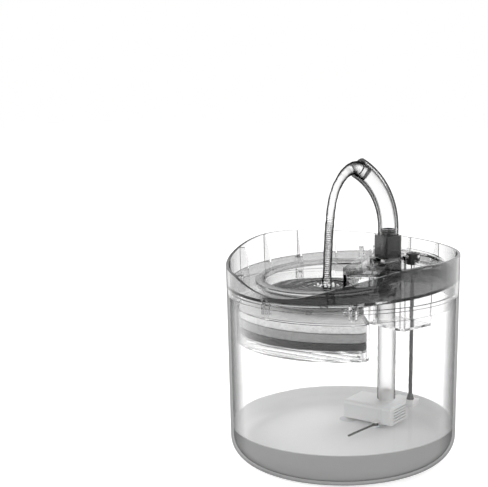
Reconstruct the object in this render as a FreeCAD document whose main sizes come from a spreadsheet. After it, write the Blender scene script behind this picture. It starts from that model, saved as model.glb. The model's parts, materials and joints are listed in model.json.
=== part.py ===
import FreeCAD, Part
import math
import os
import re

import Sketcher

# Pet water fountain: a clear round tank, a sloping clear lid with a drinking dish, a swan-neck
# faucet fed by a small pump on the tank floor, and a half-moon filter box under the dish.
# Millimetres. +Z is up, the origin is the centre of the tank's underside, and the low drinking
# lip faces -Y.

SIZES = {
    "tank_radius": 90.0,
    "plan_radius": 90.0,
    "tank_height": 132.0,
    "tank_wall": 2.4,
    "tank_floor": 3.0,
    "tank_corner": 17.0,
    "spigot_depth": 7.0,
    "spigot_wall": 2.0,
    "spigot_gap": 0.3,
    "shoulder_height": 2.2,
    "lid_wall": 2.4,
    "lid_stock": 42.0,
    "rim_height": 36.0,
    "deck_rise": 12.0,
    "deck_slope": 3.77,
    "deck_thickness": 2.2,
    "rib_count": 7,
    "rib_start_angle": 61.0,
    "rib_step_angle": 22.0,
    "rib_thickness": 1.4,
    "rib_reach": 7.0,
    "rib_foot": 19.0,
    "rib_sink": 1.0,
    "dish_wall": 2.0,
    "dish_depth": 13.5,
    "dish_corner": 10.0,
    "dish_lip": 4.5,
    "dish_lip_height": 2.0,
    "seat_gap": 0.3,
    "spout_radius": 2.6,
    "spout_drop": 2.2,
    "cup_radius": 8.0,
    "cup_drop": 2.4,
    "cover_gap": 0.6,
    "cover_start_angle": 22.0,
    "cover_sweep_angle": 82.0,
    "cover_height": 5.2,
    "cover_plate": 2.6,
    "cover_wall": 1.6,
    "cover_bead": 1.3,
    "catch_width": 4.0,
    "catch_thickness": 1.8,
    "catch_height": 10.0,
    "well_turn_angle": -15.4,
    "well_corner": 4.0,
    "well_wall": 1.8,
    "well_flange": 2.0,
    "well_flange_height": 1.4,
    "lobe_radius": 11.5,
    "riser_radius": 7.6,
    "riser_bore": 6.0,
    "riser_bottom": 33.0,
    "joint_gap": 0.05,
    "overlap": 1.0,
    "nozzle_length": 9.0,
    "nozzle_wall": 1.6,
    "socket_width": 21.0,
    "socket_ledge": 3.0,
    "socket_gap": 0.25,
    "connector_width": 17.6,
    "connector_round": 10.8,
    "connector_bore": 4.2,
    "faucet_heading_angle": 64.9,
    "faucet_radius": 8.3,
    "faucet_wall": 2.1,
    "faucet_straight": 5.0,
    "faucet_bend": 56.0,
    "faucet_turn_angle": 61.0,
    "spigot_length": 9.0,
    "ring_section": 1.2,
    "ring_height": 1.8,
    "pump_depth": 32.0,
    "pump_bottom": 7.0,
    "pump_height": 24.0,
    "pump_wall": 1.8,
    "pump_round": 3.0,
    "rotor_drop": 0.5,
    "chamber_wall": 1.1,
    "chamber_width": 13.0,
    "shaft_radius": 1.25,
    "magnet_radius": 4.6,
    "magnet_length": 15.0,
    "magnet_gap": 0.4,
    "tunnel_spare": 3.0,
    "rotor_play": 0.5,
    "bush_length": 1.8,
    "tunnel_wall": 1.2,
    "blade_count": 6,
    "blade_clearance": 1.4,
    "blade_thickness": 1.0,
    "blade_gap": 1.0,
    "hub_radius": 3.2,
    "core_length": 11.0,
    "core_clearance": 1.1,
    "core_offset": 2.0,
    "coil_depth": 8.6,
    "cap_thickness": 2.0,
    "strainer_length": 6.4,
    "slot_count": 5,
    "slot_width": 1.6,
    "plate_thickness": 1.6,
    "lead_radius": 1.7,
    "arm_width": 11.0,
    "arm_height": 7.0,
    "gland_radius": 3.4,
    "gland_height": 4.0,
    "gland_lip": 0.6,
    "inlet_radius": 5.5,
    "inlet_bore": 2.75,
    "inlet_depth": 6.0,
    "inlet_stand": 1.0,
    "inlet_floor": 3.0,
    "inlet_pin": 0.8,
    "pin_set": 1.0,
    "foot_radius": 8.0,
    "foot_neck": 3.0,
    "foot_gap": 0.1,
    "foot_inset": 1.0,
    "foot_overhang": 2.0,
    "foot_skirt_share": 0.7,
    "lever_reach": 31.0,
    "lever_heading_angle": 256.0,
    "lever_radius": 1.2,
    "lever_pivot": 2.4,
    "lever_rise": 9.0,
    "lever_tip_gap": 1.0,
    "eye_rim": 0.5,
    "pin_reach": 2.5,
    "lug_thickness": 1.5,
    "box_gap": 2.3,
    "box_turn_angle": 40.0,
    "box_chord": 9.7,
    "box_corner": 9.0,
    "box_wall": 1.6,
    "pad_gap": 0.4,
    "grille_rise": 6.0,
    "grille_thickness": 1.6,
    "bar_pitch": 9.0,
    "bar_width": 4.4,
    "carbon_thickness": 5.6,
    "resin_thickness": 7.0,
    "cotton_thickness": 5.8,
    "post_radius": 1.8,
    "post_height": 10.9,
    "post_root": 0.5,
    "boss_wall": 1.6,
    "post_gap": 0.06,
}

# Places and lengths in plan, for a tank of plan_radius. They grow with the tank.
PLAN_SIZES = {
    "dish_x": -5.0,
    "dish_y": -11.0,
    "dish_radius": 50.5,
    "spout_x": 3.0,
    "spout_y": -52.0,
    "cup_x": 31.6,
    "cup_y": -36.7,
    "catch_along": 43.0,
    "well_x": 27.5,
    "well_y": 42.0,
    "well_length": 41.0,
    "well_width": 36.0,
    "riser_x": 10.8,
    "riser_y": 49.9,
    "lead_x": 26.0,
    "lead_y": 64.6,
}

# Heights above the tank's top edge.
EDGE_LEVELS = {
    "riser_top": 5.0,
    "socket_bottom": 1.5,
    "connector_top": 38.0,
    "box_bottom": -36.0,
    "box_top": -9.4,
    "well_bottom": -32.0,
    "boss_bottom": -5.0,
}

# Places that follow the riser's axis.
RISER_PLACES = {
    "pump_west": ("riser_x", -30.8),
    "pump_front": ("riser_y", -17.9),
    "lever_x": ("riser_x", 2.2),
}

# Sizes that follow the tank or the pump it holds.
FOLLOWING_SIZES = {
    "cover_radius": "tank_radius - lid_wall - rib_reach - cover_gap",
    "box_radius": "tank_radius - tank_wall - spigot_gap - spigot_wall - box_gap",
    "rotor_height": "pump_bottom + pump_height / 2 - rotor_drop",
    "chamber_radius": "pump_height / 2 - rotor_drop - chamber_wall",
    "blade_radius": "pump_height / 2 - rotor_drop - chamber_wall - blade_clearance",
    "core_arm": "pump_height / 2 - pump_wall - magnet_radius - magnet_gap - tunnel_wall"
                " - seat_gap - core_clearance",
}

# Rim of the lid's wall: angle round the tank in degrees, and height above the tank's top edge as
# a share of rim_height.
RIM_SHARES = (
    (0, 0.842), (30, 0.828), (60, 0.833), (90, 0.878), (120, 0.933), (150, 0.997), (172, 0.969),
    (190, 0.828), (207, 0.672), (224, 0.572), (241, 0.5), (256, 0.333), (270, 0.25), (284, 0.311),
    (299, 0.489), (315, 0.667), (332, 0.814),
)

# Angles round the tank where the filter box hangs from the lid.
POST_ANGLES = (150, 205, 262, 308)

doc = FreeCAD.newDocument("fountain")
sheet = doc.addObject("Spreadsheet::Sheet", "sizes")
cells = {alias: str(number) for alias, number in SIZES.items()}
cells.update((alias, f"={number} * tank_radius / plan_radius") for alias, number in PLAN_SIZES.items())
cells.update((alias, f"=tank_height + {number}") for alias, number in EDGE_LEVELS.items())
cells.update((alias, f"={base} + {number}") for alias, (base, number) in RISER_PLACES.items())
cells.update((alias, "=" + text) for alias, text in FOLLOWING_SIZES.items())
for row, alias in enumerate(cells, start=1):
    sheet.set(f"A{row}", alias)
    sheet.setAlias(f"B{row}", alias)
for row, content in enumerate(cells.values(), start=1):
    sheet.set(f"B{row}", content)
doc.recompute()

WORD = re.compile(r"[a-z]+(?:_[a-z]+)+|overlap")
TOLERANCE = 1e-4
parts = {}


def formula(text):
    """Point the size names in a formula at the spreadsheet."""
    return WORD.sub(lambda found: "sizes." + found.group(), text)


def amount(text):
    """Value of a formula in millimetres, degrees or a count."""
    return float(sheet.evalExpression(formula(text)))


def bind(thing, **formulas):
    """Tie properties to formulas; x, y, z and turn are the placement's."""
    places = {"x": "Placement.Base.x", "y": "Placement.Base.y", "z": "Placement.Base.z"}
    for name, text in formulas.items():
        thing.setExpression(places.get(name, name), formula(text))
    return thing


def turned(thing, axis, angle):
    """Turn a feature about an axis by a formula's angle."""
    thing.Placement.Rotation = FreeCAD.Rotation(FreeCAD.Vector(*axis), amount(angle))
    thing.setExpression("Placement.Rotation.Angle", formula(angle))
    return thing


def keep(node, thing):
    """Label a feature as a finished sub-part."""
    thing.Label = node
    parts[node] = thing
    return thing


def cylinder(name, radius, height, x="0", y="0", z="0"):
    """Upright cylinder whose foot is at x, y, z."""
    thing = doc.addObject("Part::Cylinder", name)
    return bind(thing, Radius=radius, Height=height, x=x, y=y, z=z)


def lying_cylinder(name, radius, length, x, y, z):
    """Cylinder along +X that starts at x, y, z."""
    thing = cylinder(name, radius, length, x, y, z)
    thing.Placement.Rotation = FreeCAD.Rotation(FreeCAD.Vector(0, 1, 0), 90)
    return thing


def cone(name, low, high, height, x="0", y="0", z="0"):
    """Upright cone from a low radius to a high one."""
    thing = doc.addObject("Part::Cone", name)
    return bind(thing, Radius1=low, Radius2=high, Height=height, x=x, y=y, z=z)


def box(name, length, width, height, x="0", y="0", z="0"):
    """Box whose lowest corner is at x, y, z."""
    thing = doc.addObject("Part::Box", name)
    return bind(thing, Length=length, Width=width, Height=height, x=x, y=y, z=z)


def cut(name, base, *tools):
    """Base without the tools."""
    thing = doc.addObject("Part::Cut", name)
    thing.Base = base
    thing.Tool = tools[0] if len(tools) == 1 else fuse(name + "_tools", *tools)
    return thing


def fuse(name, *pieces):
    """One solid of pieces that touch or overlap."""
    thing = doc.addObject("Part::MultiFuse", name)
    thing.Shapes = list(pieces)
    thing.Refine = True
    return thing


def common(name, *pieces):
    """What all the pieces share."""
    thing = doc.addObject("Part::MultiCommon", name)
    thing.Shapes = list(pieces)
    return thing


def group(name, *pieces):
    """Separate solids under one name."""
    thing = doc.addObject("Part::Compound", name)
    thing.Links = list(pieces)
    return thing


def lone(name, piece):
    """Wrap one piece so that it can be placed again as a whole."""
    return group(name, piece)


def solid(name, shape):
    """Feature that holds a ready shape."""
    thing = doc.addObject("Part::Feature", name)
    thing.Shape = shape
    return thing


def on_deck(thing):
    """Place a feature built about the origin on the sloping deck's top plane."""
    bind(thing, z="tank_height + deck_rise")
    return turned(thing, (1, 0, 0), "deck_slope")


def origin_item(body, role):
    """Axis or plane of a body's own origin."""
    return next(item for item in body.Origin.OriginFeatures if item.Role == role)


def new_sketch(body, name, role):
    """Sketch on one of a body's origin planes."""
    sketch = body.newObject("Sketcher::SketchObject", name)
    sketch.AttachmentSupport = (origin_item(body, role), [""])
    sketch.MapMode = "FlatFace"
    return sketch


def tie(sketch, kind, *where, to):
    """Add a dimension to a sketch and bind it to a formula."""
    index = sketch.addConstraint(Sketcher.Constraint(kind, *where, amount(to)))
    label = f"{kind.lower()}_{index}"
    sketch.renameConstraint(index, label)
    sketch.setExpression("Constraints." + label, formula(to))


def circle(sketch, radius):
    """Circle about the sketch's origin."""
    index = sketch.addGeometry(Part.Circle(FreeCAD.Vector(), FreeCAD.Vector(0, 0, 1), amount(radius)))
    sketch.addConstraint(Sketcher.Constraint("Coincident", index, 3, -1, 1))
    tie(sketch, "Radius", index, to=radius)


def outline(sketch, corners):
    """Closed outline of straight lines through corners given as pairs of formulas."""
    spots = [FreeCAD.Vector(amount(x), amount(y), 0) for x, y in corners]
    first = sketch.GeometryCount
    for start, end in zip(spots, spots[1:] + spots[:1]):
        sketch.addGeometry(Part.LineSegment(start, end))
    for step, (x, y) in enumerate(corners):
        index = first + step
        ahead = first + (step + 1) % len(corners)
        sketch.addConstraint(Sketcher.Constraint("Coincident", index, 2, ahead, 1))
        for kind, text, axis in (("DistanceX", x, -2), ("DistanceY", y, -1)):
            if text == "0":
                sketch.addConstraint(Sketcher.Constraint("PointOnObject", index, 1, axis))
            else:
                tie(sketch, kind, -1, 1, index, 1, to=text)


def pad(body, name, sketch, length, middle=False):
    """Block of a sketch, a length thick."""
    feature = body.newObject("PartDesign::Pad", name)
    feature.Profile = sketch
    feature.Midplane = middle
    feature.setExpression("Length", formula(length))
    doc.recompute()
    return feature


def rounded(body, name, feature, radius, wanted):
    """Fillet the edges of a feature that a test picks."""
    edges = [f"Edge{i}" for i, edge in enumerate(feature.Shape.Edges, start=1) if wanted(edge)]
    fillet = body.newObject("PartDesign::Fillet", name)
    fillet.Base = (feature, edges)
    fillet.setExpression("Radius", formula(radius))
    doc.recompute()
    return fillet


def at_height(level):
    """Test for edges that lie flat at one height."""
    return lambda edge: (abs(edge.BoundBox.ZMin - level) < TOLERANCE
                         and abs(edge.BoundBox.ZMax - level) < TOLERANCE)


def drum(name, radius, height, corner, z="0"):
    """Round block with its bottom edge rounded."""
    body = doc.addObject("PartDesign::Body", name)
    sketch = new_sketch(body, name + "_sketch", "XY_Plane")
    circle(sketch, radius)
    stock = pad(body, name + "_stock", sketch, height)
    rounded(body, name + "_corner", stock, corner, at_height(0.0))
    return bind(body, z=z)


def round_cup(name, radius, height, wall, floor, corner):
    """Open round cup with its outer and inner bottom corners rounded."""
    outside = drum(name + "_outside", radius, height, corner)
    inside = drum(name + "_inside", f"{radius} - {wall}", height, f"{corner} - {wall}", floor)
    return cut(name, outside, inside)


# Tank


def make_tank():
    """Clear round tank with a large bottom corner."""
    keep("tank", round_cup("tank", "tank_radius", "tank_height", "tank_wall", "tank_floor", "tank_corner"))


# Lid: wavy wall, gussets, shoulder, spigot, sloping deck and filter bosses


def rim_waste():
    """Solid above the wavy rim, a ribbon between two closed curves carried upwards."""
    curves = []
    for radius in (amount("tank_radius - 4 * lid_wall - rib_reach"), amount("tank_radius + 4 * lid_wall")):
        spots = []
        for angle, share in RIM_SHARES:
            across = math.radians(angle)
            level = amount(f"tank_height + rim_height * {share}")
            spots.append(FreeCAD.Vector(radius * math.cos(across), radius * math.sin(across), level))
        curve = Part.BSplineCurve()
        curve.interpolate(Points=spots, PeriodicFlag=True)
        curves.append(curve.toShape())
    ribbon = Part.makeRuledSurface(*curves)
    return solid("rim_waste", ribbon.extrude(FreeCAD.Vector(0, 0, 2 * amount("lid_stock"))))


def lid_wall_body():
    """Plain wall ring with its gussets, before the rim is cut wavy."""
    body = doc.addObject("PartDesign::Body", "lid_ring")
    ring = new_sketch(body, "ring_sketch", "XY_Plane")
    circle(ring, "tank_radius")
    circle(ring, "tank_radius - lid_wall")
    pad(body, "ring_pad", ring, "lid_stock")
    rib = new_sketch(body, "rib_sketch", "XZ_Plane")
    wall_inside = "tank_radius - lid_wall"
    outline(rib, (
        (f"{wall_inside} - rib_reach", "deck_rise - rib_sink"),
        (f"{wall_inside} + lid_wall / 2", "deck_rise - rib_sink"),
        (f"{wall_inside} + lid_wall / 2", "lid_stock"),
        (wall_inside, "lid_stock"),
        (f"{wall_inside} - rib_reach", "rib_foot"),
    ))
    gusset = pad(body, "rib_pad", rib, "rib_thickness", middle=True)
    pattern = body.newObject("PartDesign::PolarPattern", "rib_pattern")
    pattern.Originals = [gusset]
    pattern.Axis = (origin_item(body, "Z_Axis"), [""])
    pattern.setExpression("Angle", formula("rib_step_angle * (rib_count - 1)"))
    pattern.setExpression("Occurrences", formula("rib_count"))
    body.Tip = pattern
    bind(body, z="tank_height")
    return turned(body, (0, 0, 1), "rib_start_angle")


def deck_slab(name, thickness, sink):
    """Wide tilted slab whose top is sunk below the deck's top plane."""
    side = "4 * tank_radius"
    slab = box(name + "_block", side, side, thickness, x="-2 * tank_radius", y="-2 * tank_radius",
               z=f"-({thickness}) - ({sink})")
    return on_deck(lone(name, slab))


def post_spot(angle):
    """Place of a filter post on the middle of the box's wall."""
    reach = amount("box_radius - box_wall / 2")
    return reach * math.cos(math.radians(angle)), reach * math.sin(math.radians(angle))


def make_lid():
    """Lid in one piece, with its dish hole, well hole and the bores for the filter posts."""
    inner = "tank_radius - tank_wall - spigot_gap"
    spigot = cut(
        "spigot",
        cylinder("spigot_stock", inner, "spigot_depth + shoulder_height", z="tank_height - spigot_depth"),
        cylinder("spigot_bore", f"{inner} - spigot_wall", "spigot_depth + shoulder_height",
                 z="tank_height - spigot_depth"),
    )
    shoulder = cut(
        "shoulder",
        cylinder("shoulder_stock", "tank_radius - lid_wall / 2", "shoulder_height", z="tank_height"),
        cylinder("shoulder_bore", f"{inner} - spigot_wall", "shoulder_height", z="tank_height"),
    )
    deck = common(
        "deck",
        deck_slab("deck_slab", "deck_thickness", "0"),
        cylinder("deck_round", "tank_radius - lid_wall / 2", "lid_stock", z="tank_height"),
    )
    bosses = []
    for index, angle in enumerate(POST_ANGLES):
        x, y = (str(spot) for spot in post_spot(angle))
        length = f"tank_height + deck_rise - boss_bottom + {y} * tan(deck_slope) - deck_thickness / 2"
        bosses.append(cylinder(f"boss_{index}", "post_radius + post_gap + boss_wall", length, x, y,
                               "boss_bottom"))
    band = cut("lid_band", lid_wall_body(), rim_waste())
    pieces = fuse("lid_pieces", band, spigot, shoulder, deck, *bosses)
    dish_hole = on_deck(cut(
        "dish_hole",
        cylinder("dish_hole_round", "dish_radius + dish_wall + seat_gap", "3 * deck_thickness", "dish_x",
                 "dish_y", "-2 * deck_thickness"),
        sector("dish_hole_notch", "cover_radius", "dish_wall + seat_gap", "3 * deck_thickness",
               "-2 * deck_thickness"),
    ))
    bores = []
    for index, angle in enumerate(POST_ANGLES):
        x, y = (str(spot) for spot in post_spot(angle))
        bores.append(cylinder(f"bore_{index}", "post_radius + post_gap",
                              "box_top + post_height + 2 * seat_gap - boss_bottom", x, y, "boss_bottom"))
    well_hole = well_form("well_hole", "seat_gap", "tank_height", "lid_stock")
    keep("lid", cut("lid", pieces, dish_hole, well_hole, *cover_rooms("lid"), *bores))


# Dish


def make_dish():
    """Drinking dish with its lip, drain cup and drain spout."""
    outer = "dish_radius + dish_wall"
    depth = "(dish_depth + dish_wall)"
    middle = {"x": "dish_x", "y": "dish_y"}
    outside = bind(drum("dish_outside", outer, depth, "dish_corner", f"-{depth}"), **middle)
    lip = cylinder("lip_stock", f"{outer} + dish_lip", "dish_lip_height", "dish_x", "dish_y")
    spout = cylinder("spout_stock", "spout_radius", "spout_drop + dish_wall", "spout_x", "spout_y",
                     f"-{depth} - spout_drop")
    drain = cylinder("drain_cup", "cup_radius", f"cup_drop + {depth}", "cup_x", "cup_y",
                     f"-{depth} - cup_drop")
    bowl = fuse(
        "dish_stock",
        cut("bowl_notched", fuse("bowl_stock", outside, spout, drain),
            sector("notch_outside", "cover_radius", "dish_wall", f"{depth} + cup_drop",
                   f"-{depth} - cup_drop")),
        cut("lip_notched", lip, sector("lip_notch", "cover_radius", "-seat_gap", "dish_lip_height", "0")),
    )
    inside = bind(drum("dish_inside", "dish_radius", "dish_depth + 2 * dish_lip_height",
                       "dish_corner - dish_wall", "-dish_depth"), **middle)
    water_side = cut("water_room", inside,
                     sector("notch_inside", "cover_radius", "0", "2 * dish_depth", "-dish_depth"))
    tall = ("well_bottom", "tank_height")
    keep("dish", cut(
        "dish",
        cut("dish_shell", on_deck(bowl), well_form("dish_well_room", "seat_gap", *tall)),
        cut("dish_cavity", on_deck(water_side), well_form("dish_well_wall", "seat_gap + dish_wall", *tall)),
        on_deck(lone("spout_hole", cylinder("spout_bore", "spout_radius / 2", "spout_drop + 3 * dish_wall",
                                            "spout_x", "spout_y", f"-{depth} - spout_drop"))),
    ))


# Cover over the pump's service opening, and the well below it


def sector(name, radius, inset, height, z):
    """Wedge of a disc with its point near the deck's centre."""
    thing = cylinder(name, radius, height, z=z)
    bind(thing, Angle="cover_sweep_angle")
    middle = "(cover_start_angle + cover_sweep_angle / 2)"
    shift = f"({inset}) / sin(cover_sweep_angle / 2)"
    bind(thing, x=f"{shift} * cos({middle})", y=f"{shift} * sin({middle})")
    return turned(thing, (0, 0, 1), "cover_start_angle")


def make_cover():
    """Raised wedge over the service opening, with its bead and catch."""
    bead_height = "cover_height + cover_bead"
    shell = cut(
        "cover_shell",
        fuse("cover_stock", sector("cover_wedge", "cover_radius", "0", "cover_height", "0"),
             cut("cover_bead_ring", sector("bead_wedge", "cover_radius", "0", bead_height, "0"),
                 cylinder("bead_bore", "cover_radius - cover_wall", bead_height))),
        sector("cover_inside", "cover_radius - 2 * cover_wall", "cover_wall",
               "cover_height - cover_plate", "0"),
    )
    edge = "(cover_start_angle + cover_sweep_angle)"
    catch = doc.addObject("Part::Wedge", "catch_wedge")
    bind(catch, Xmin="0", X2min="0", Xmax="catch_width", X2max="catch_width", Ymin="0", Ymax="catch_height",
         Zmin="0", Z2min="0", Zmax="catch_thickness", Z2max="catch_thickness / 3")
    catch.Placement.Rotation = FreeCAD.Rotation(FreeCAD.Vector(1, 0, 0), 90)
    bind(catch, x=f"catch_along * cos({edge}) + 0.6 * catch_thickness",
         y=f"catch_along * sin({edge}) - catch_width / 2", z="cover_height - overlap")
    plate = on_deck(fuse("cover_pieces", shell, catch))
    socket_room = socket_block("socket_room", "socket_width", "tank_height", "lid_stock")
    inlet_room = cylinder("inlet_room", "inlet_radius", "lid_stock", "lead_x", "lead_y", "tank_height")
    keep("service_cover", cut("service_cover", plate, socket_room, inlet_room))


def well_form(name, grow, z, height):
    """Upright prism of the well's plan: a turned rounded rectangle and a lobe round the riser."""
    wide = f"(well_length + 2 * ({grow}))"
    deep = f"(well_width + 2 * ({grow}))"
    round_off = f"(well_corner + ({grow}))"
    pieces = [
        box(name + "_a", f"{wide} - 2 * {round_off}", deep, height,
            f"-{wide} / 2 + {round_off}", f"-{deep} / 2"),
        box(name + "_b", wide, f"{deep} - 2 * {round_off}", height,
            f"-{wide} / 2", f"-{deep} / 2 + {round_off}"),
    ]
    for index, (side, end) in enumerate(((-1, -1), (-1, 1), (1, -1), (1, 1))):
        pieces.append(cylinder(f"{name}_corner_{index}", round_off, height,
                               f"{side} * ({wide} / 2 - {round_off})",
                               f"{end} * ({deep} / 2 - {round_off})"))
    plan = fuse(name + "_plan", *pieces)
    bind(plan, x="well_x", y="well_y", z=z)
    turned(plan, (0, 0, 1), "well_turn_angle")
    lobe = cylinder(name + "_lobe", f"lobe_radius + ({grow})", height, "riser_x", "riser_y", z)
    return fuse(name, plan, lobe)


def cover_rooms(name):
    """Room below the cover for the faucet's socket and the power inlet."""
    return (
        socket_block(name + "_socket_room", "socket_width + 2 * seat_gap", "socket_bottom - seat_gap",
                     "lid_stock"),
        cylinder(name + "_inlet_room", "inlet_radius + seat_gap", "lid_stock", "lead_x", "lead_y",
                 "tank_height"),
    )


def make_well():
    """Pocket under the cover, open at the top, with a hole for the riser."""
    flange_top = "deck_rise + tank_height - well_bottom + lid_stock"
    body = well_form("well_stock", "0", "well_bottom", flange_top)
    below = common("well_below", body, deck_slab("below_flange", "2 * deck_rise + tank_height - well_bottom",
                                                 "-well_flange_height / 2"))
    limit = sector("flange_sector", "cover_radius - 2 * cover_wall - seat_gap", "cover_wall + seat_gap",
                   "cover_height", "0")
    flange = common("well_rim", well_form("flange_stock", "well_flange", "tank_height", "lid_stock"),
                    deck_slab("flange_slab", "well_flange_height", "-well_flange_height"),
                    on_deck(lone("flange_limit", limit)))
    inside = well_form("well_inside", "-well_wall", "well_bottom + well_wall", flange_top)
    riser_hole = cylinder("well_riser_hole", "riser_radius + seat_gap", "3 * well_wall", "riser_x",
                          "riser_y", "well_bottom - well_wall")
    keep("lead_well", cut("lead_well", fuse("well_pieces", below, flange), inside, riser_hole,
                          *cover_rooms("well")))


# Faucet: socket in the lid, dark connector, seal ring and swan neck


def socket_block(name, width, z, height):
    """Square block about the riser's axis, turned to face the way the faucet points."""
    block = box(name + "_box", width, width, height, f"-({width}) / 2", f"-({width}) / 2")
    turned_block = group(name, block)
    bind(turned_block, x="riser_x", y="riser_y", z=z)
    return turned(turned_block, (0, 0, 1), "faucet_heading_angle")


def socket_top():
    """Height of the socket's top face, level with the cover at the riser."""
    return "(tank_height + deck_rise + cover_height + riser_y * tan(deck_slope))"


def make_socket():
    """Square sleeve that the connector drops into."""
    inner = "connector_width + 2 * socket_gap"
    keep("faucet_socket", cut(
        "faucet_socket",
        socket_block("socket_outer", "socket_width", "socket_bottom", f"{socket_top()} - socket_bottom"),
        socket_block("socket_inner", inner, "socket_bottom + socket_ledge", "lid_stock"),
        cylinder("socket_riser_hole", "riser_radius + seat_gap", "3 * socket_ledge", "riser_x", "riser_y",
                 "socket_bottom - socket_ledge"),
    ))


def make_connector():
    """Connector between riser and faucet, and the seal ring in its groove."""
    body = common(
        "connector_body",
        socket_block("connector_block", "connector_width", "riser_top", "connector_top - riser_top"),
        cylinder("connector_rounding", "connector_round", "connector_top - riser_top", "riser_x", "riser_y",
                 "riser_top"),
    )
    lower = cylinder("connector_tail", "riser_bore - joint_gap", "spigot_length", "riser_x", "riser_y",
                     "riser_top - spigot_length")
    upper = cylinder("connector_spigot", "faucet_radius - faucet_wall - joint_gap", "faucet_straight",
                     "riser_x", "riser_y", "connector_top")
    groove = cut(
        "ring_groove",
        cylinder("groove_outer", "faucet_radius", "ring_section", "riser_x", "riser_y",
                 "connector_top + ring_height"),
        cylinder("groove_inner", "faucet_radius - faucet_wall - ring_section", "ring_section", "riser_x",
                 "riser_y", "connector_top + ring_height"),
    )
    bore = cylinder("connector_bore_tool", "connector_bore",
                    "connector_top - riser_top + 2 * spigot_length", "riser_x", "riser_y",
                    "riser_top - spigot_length")
    pieces = fuse("connector_pieces", body, lower, upper)
    keep("faucet_connector", cut("faucet_connector", pieces, groove, bore))
    keep("connector_seal", cut(
        "connector_seal",
        cylinder("seal_outer", "faucet_radius - faucet_wall - joint_gap", "ring_section - 2 * joint_gap",
                 "riser_x", "riser_y", "connector_top + ring_height + joint_gap"),
        cylinder("seal_inner", "faucet_radius - faucet_wall - ring_section + joint_gap", "ring_section",
                 "riser_x", "riser_y", "connector_top + ring_height"),
    ))


def neck(name, radius):
    """Upright stub and a quarter bend of one section, standing on the connector."""
    stub = cylinder(name + "_stub", radius, "faucet_straight", "riser_x", "riser_y", "connector_top")
    bend = doc.addObject("Part::Torus", name + "_bend")
    bind(bend, Radius1="faucet_bend", Radius2=radius, Angle3="faucet_turn_angle")
    bend.Placement.Rotation = FreeCAD.Rotation(FreeCAD.Vector(1, 0, 0), 90)
    upright = group(name + "_upright", bend)
    bind(upright, x="riser_x - faucet_bend * cos(faucet_heading_angle)",
         y="riser_y - faucet_bend * sin(faucet_heading_angle)", z="connector_top + faucet_straight")
    turned(upright, (0, 0, 1), "faucet_heading_angle")
    return fuse(name, stub, upright)


def make_neck():
    """Swan-neck tube of the faucet."""
    keep("faucet_neck", cut("faucet_neck", neck("neck_outer", "faucet_radius"),
                            neck("neck_bore", "faucet_radius - faucet_wall")))


def make_riser():
    """Straight tube from the pump to the connector."""
    keep("riser_tube", cut(
        "riser_tube",
        cylinder("riser_outer", "riser_radius", "riser_top - riser_bottom", "riser_x", "riser_y",
                 "riser_bottom"),
        cylinder("riser_inner", "riser_bore", "riser_top - riser_bottom", "riser_x", "riser_y",
                 "riser_bottom"),
    ))


# Pump: its axis is level, along X, through the riser's axis


def pump_box(name, start, length, inset=None):
    """Block of the pump's section from start along X, shrunk by inset all round."""
    inset = inset or "0"
    return box(name, length, f"pump_depth - 2 * ({inset})", f"pump_height - 2 * ({inset})",
               start, f"pump_front + ({inset})", f"pump_bottom + ({inset})")


def rounded_block(name, start, length):
    """Pump section with its four long edges rounded."""
    body = doc.addObject("PartDesign::Body", name)
    face = new_sketch(body, name + "_face", "YZ_Plane")
    low = "pump_bottom"
    outline(face, (
        ("pump_front", low), ("pump_front + pump_depth", low),
        ("pump_front + pump_depth", f"{low} + pump_height"), ("pump_front", f"{low} + pump_height"),
    ))
    block = pad(body, name + "_pad", face, length)
    rounded(body, name + "_edges", block, "pump_round",
            lambda edge: abs(edge.BoundBox.XLength - amount(length)) < TOLERANCE)
    bind(body, x=start)
    return body


CHAMBER_START = "(riser_x - chamber_width / 2)"
CHAMBER_END = "(riser_x + chamber_width / 2)"
TUNNEL_BORE = "(magnet_radius + magnet_gap)"
TUNNEL_LENGTH = "(magnet_length + tunnel_spare)"
AXIS = {"y": "riser_y", "z": "rotor_height"}


def make_casing():
    """Pump casing with its nozzle, cable arm, rotor tunnel and impeller chamber, and its rear cap."""
    body_length = f"{CHAMBER_END} - pump_west - cap_thickness"
    stock = rounded_block("casing_stock", "pump_west + cap_thickness", body_length)
    nozzle = cylinder("nozzle", "riser_bore - joint_gap", "nozzle_length + 2 * overlap", "riser_x",
                      "riser_y", "pump_bottom + pump_height - 2 * overlap")
    arm = box("cable_arm", "lead_x + arm_width / 2 - riser_x", "arm_width", "arm_height",
              "riser_x", "lead_y - arm_width / 2", "pump_bottom + pump_height - arm_height")
    tunnel = lying_cylinder("tunnel", f"{TUNNEL_BORE} + tunnel_wall", f"{TUNNEL_LENGTH} + overlap",
                            f"{CHAMBER_START} - {TUNNEL_LENGTH} - overlap", **AXIS)
    coil_room = pump_box("coil_room", "pump_west", f"{CHAMBER_START} - pump_wall - pump_west", "pump_wall")
    chamber = lying_cylinder("chamber", "chamber_radius", "chamber_width + overlap", CHAMBER_START, **AXIS)
    tunnel_bore = lying_cylinder("tunnel_bore", TUNNEL_BORE, f"{TUNNEL_LENGTH}",
                                 f"{CHAMBER_START} - {TUNNEL_LENGTH}", **AXIS)
    water_way = cylinder("water_way", "riser_bore - joint_gap - nozzle_wall", "pump_height", "riser_x",
                         "riser_y", "rotor_height")
    lead_room = cylinder("lead_room", "lead_radius", "arm_height / 2", "lead_x", "lead_y",
                         "pump_bottom + pump_height - arm_height / 2")
    shell = cut("casing_shell", fuse("casing_outer", stock, nozzle, arm), coil_room)
    keep("pump_casing", cut("pump_casing", fuse("casing_pieces", shell, tunnel), chamber, tunnel_bore,
                            water_way, lead_room))
    keep("pump_rear_cap", rounded_block("pump_rear_cap", "pump_west", "cap_thickness"))


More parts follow.
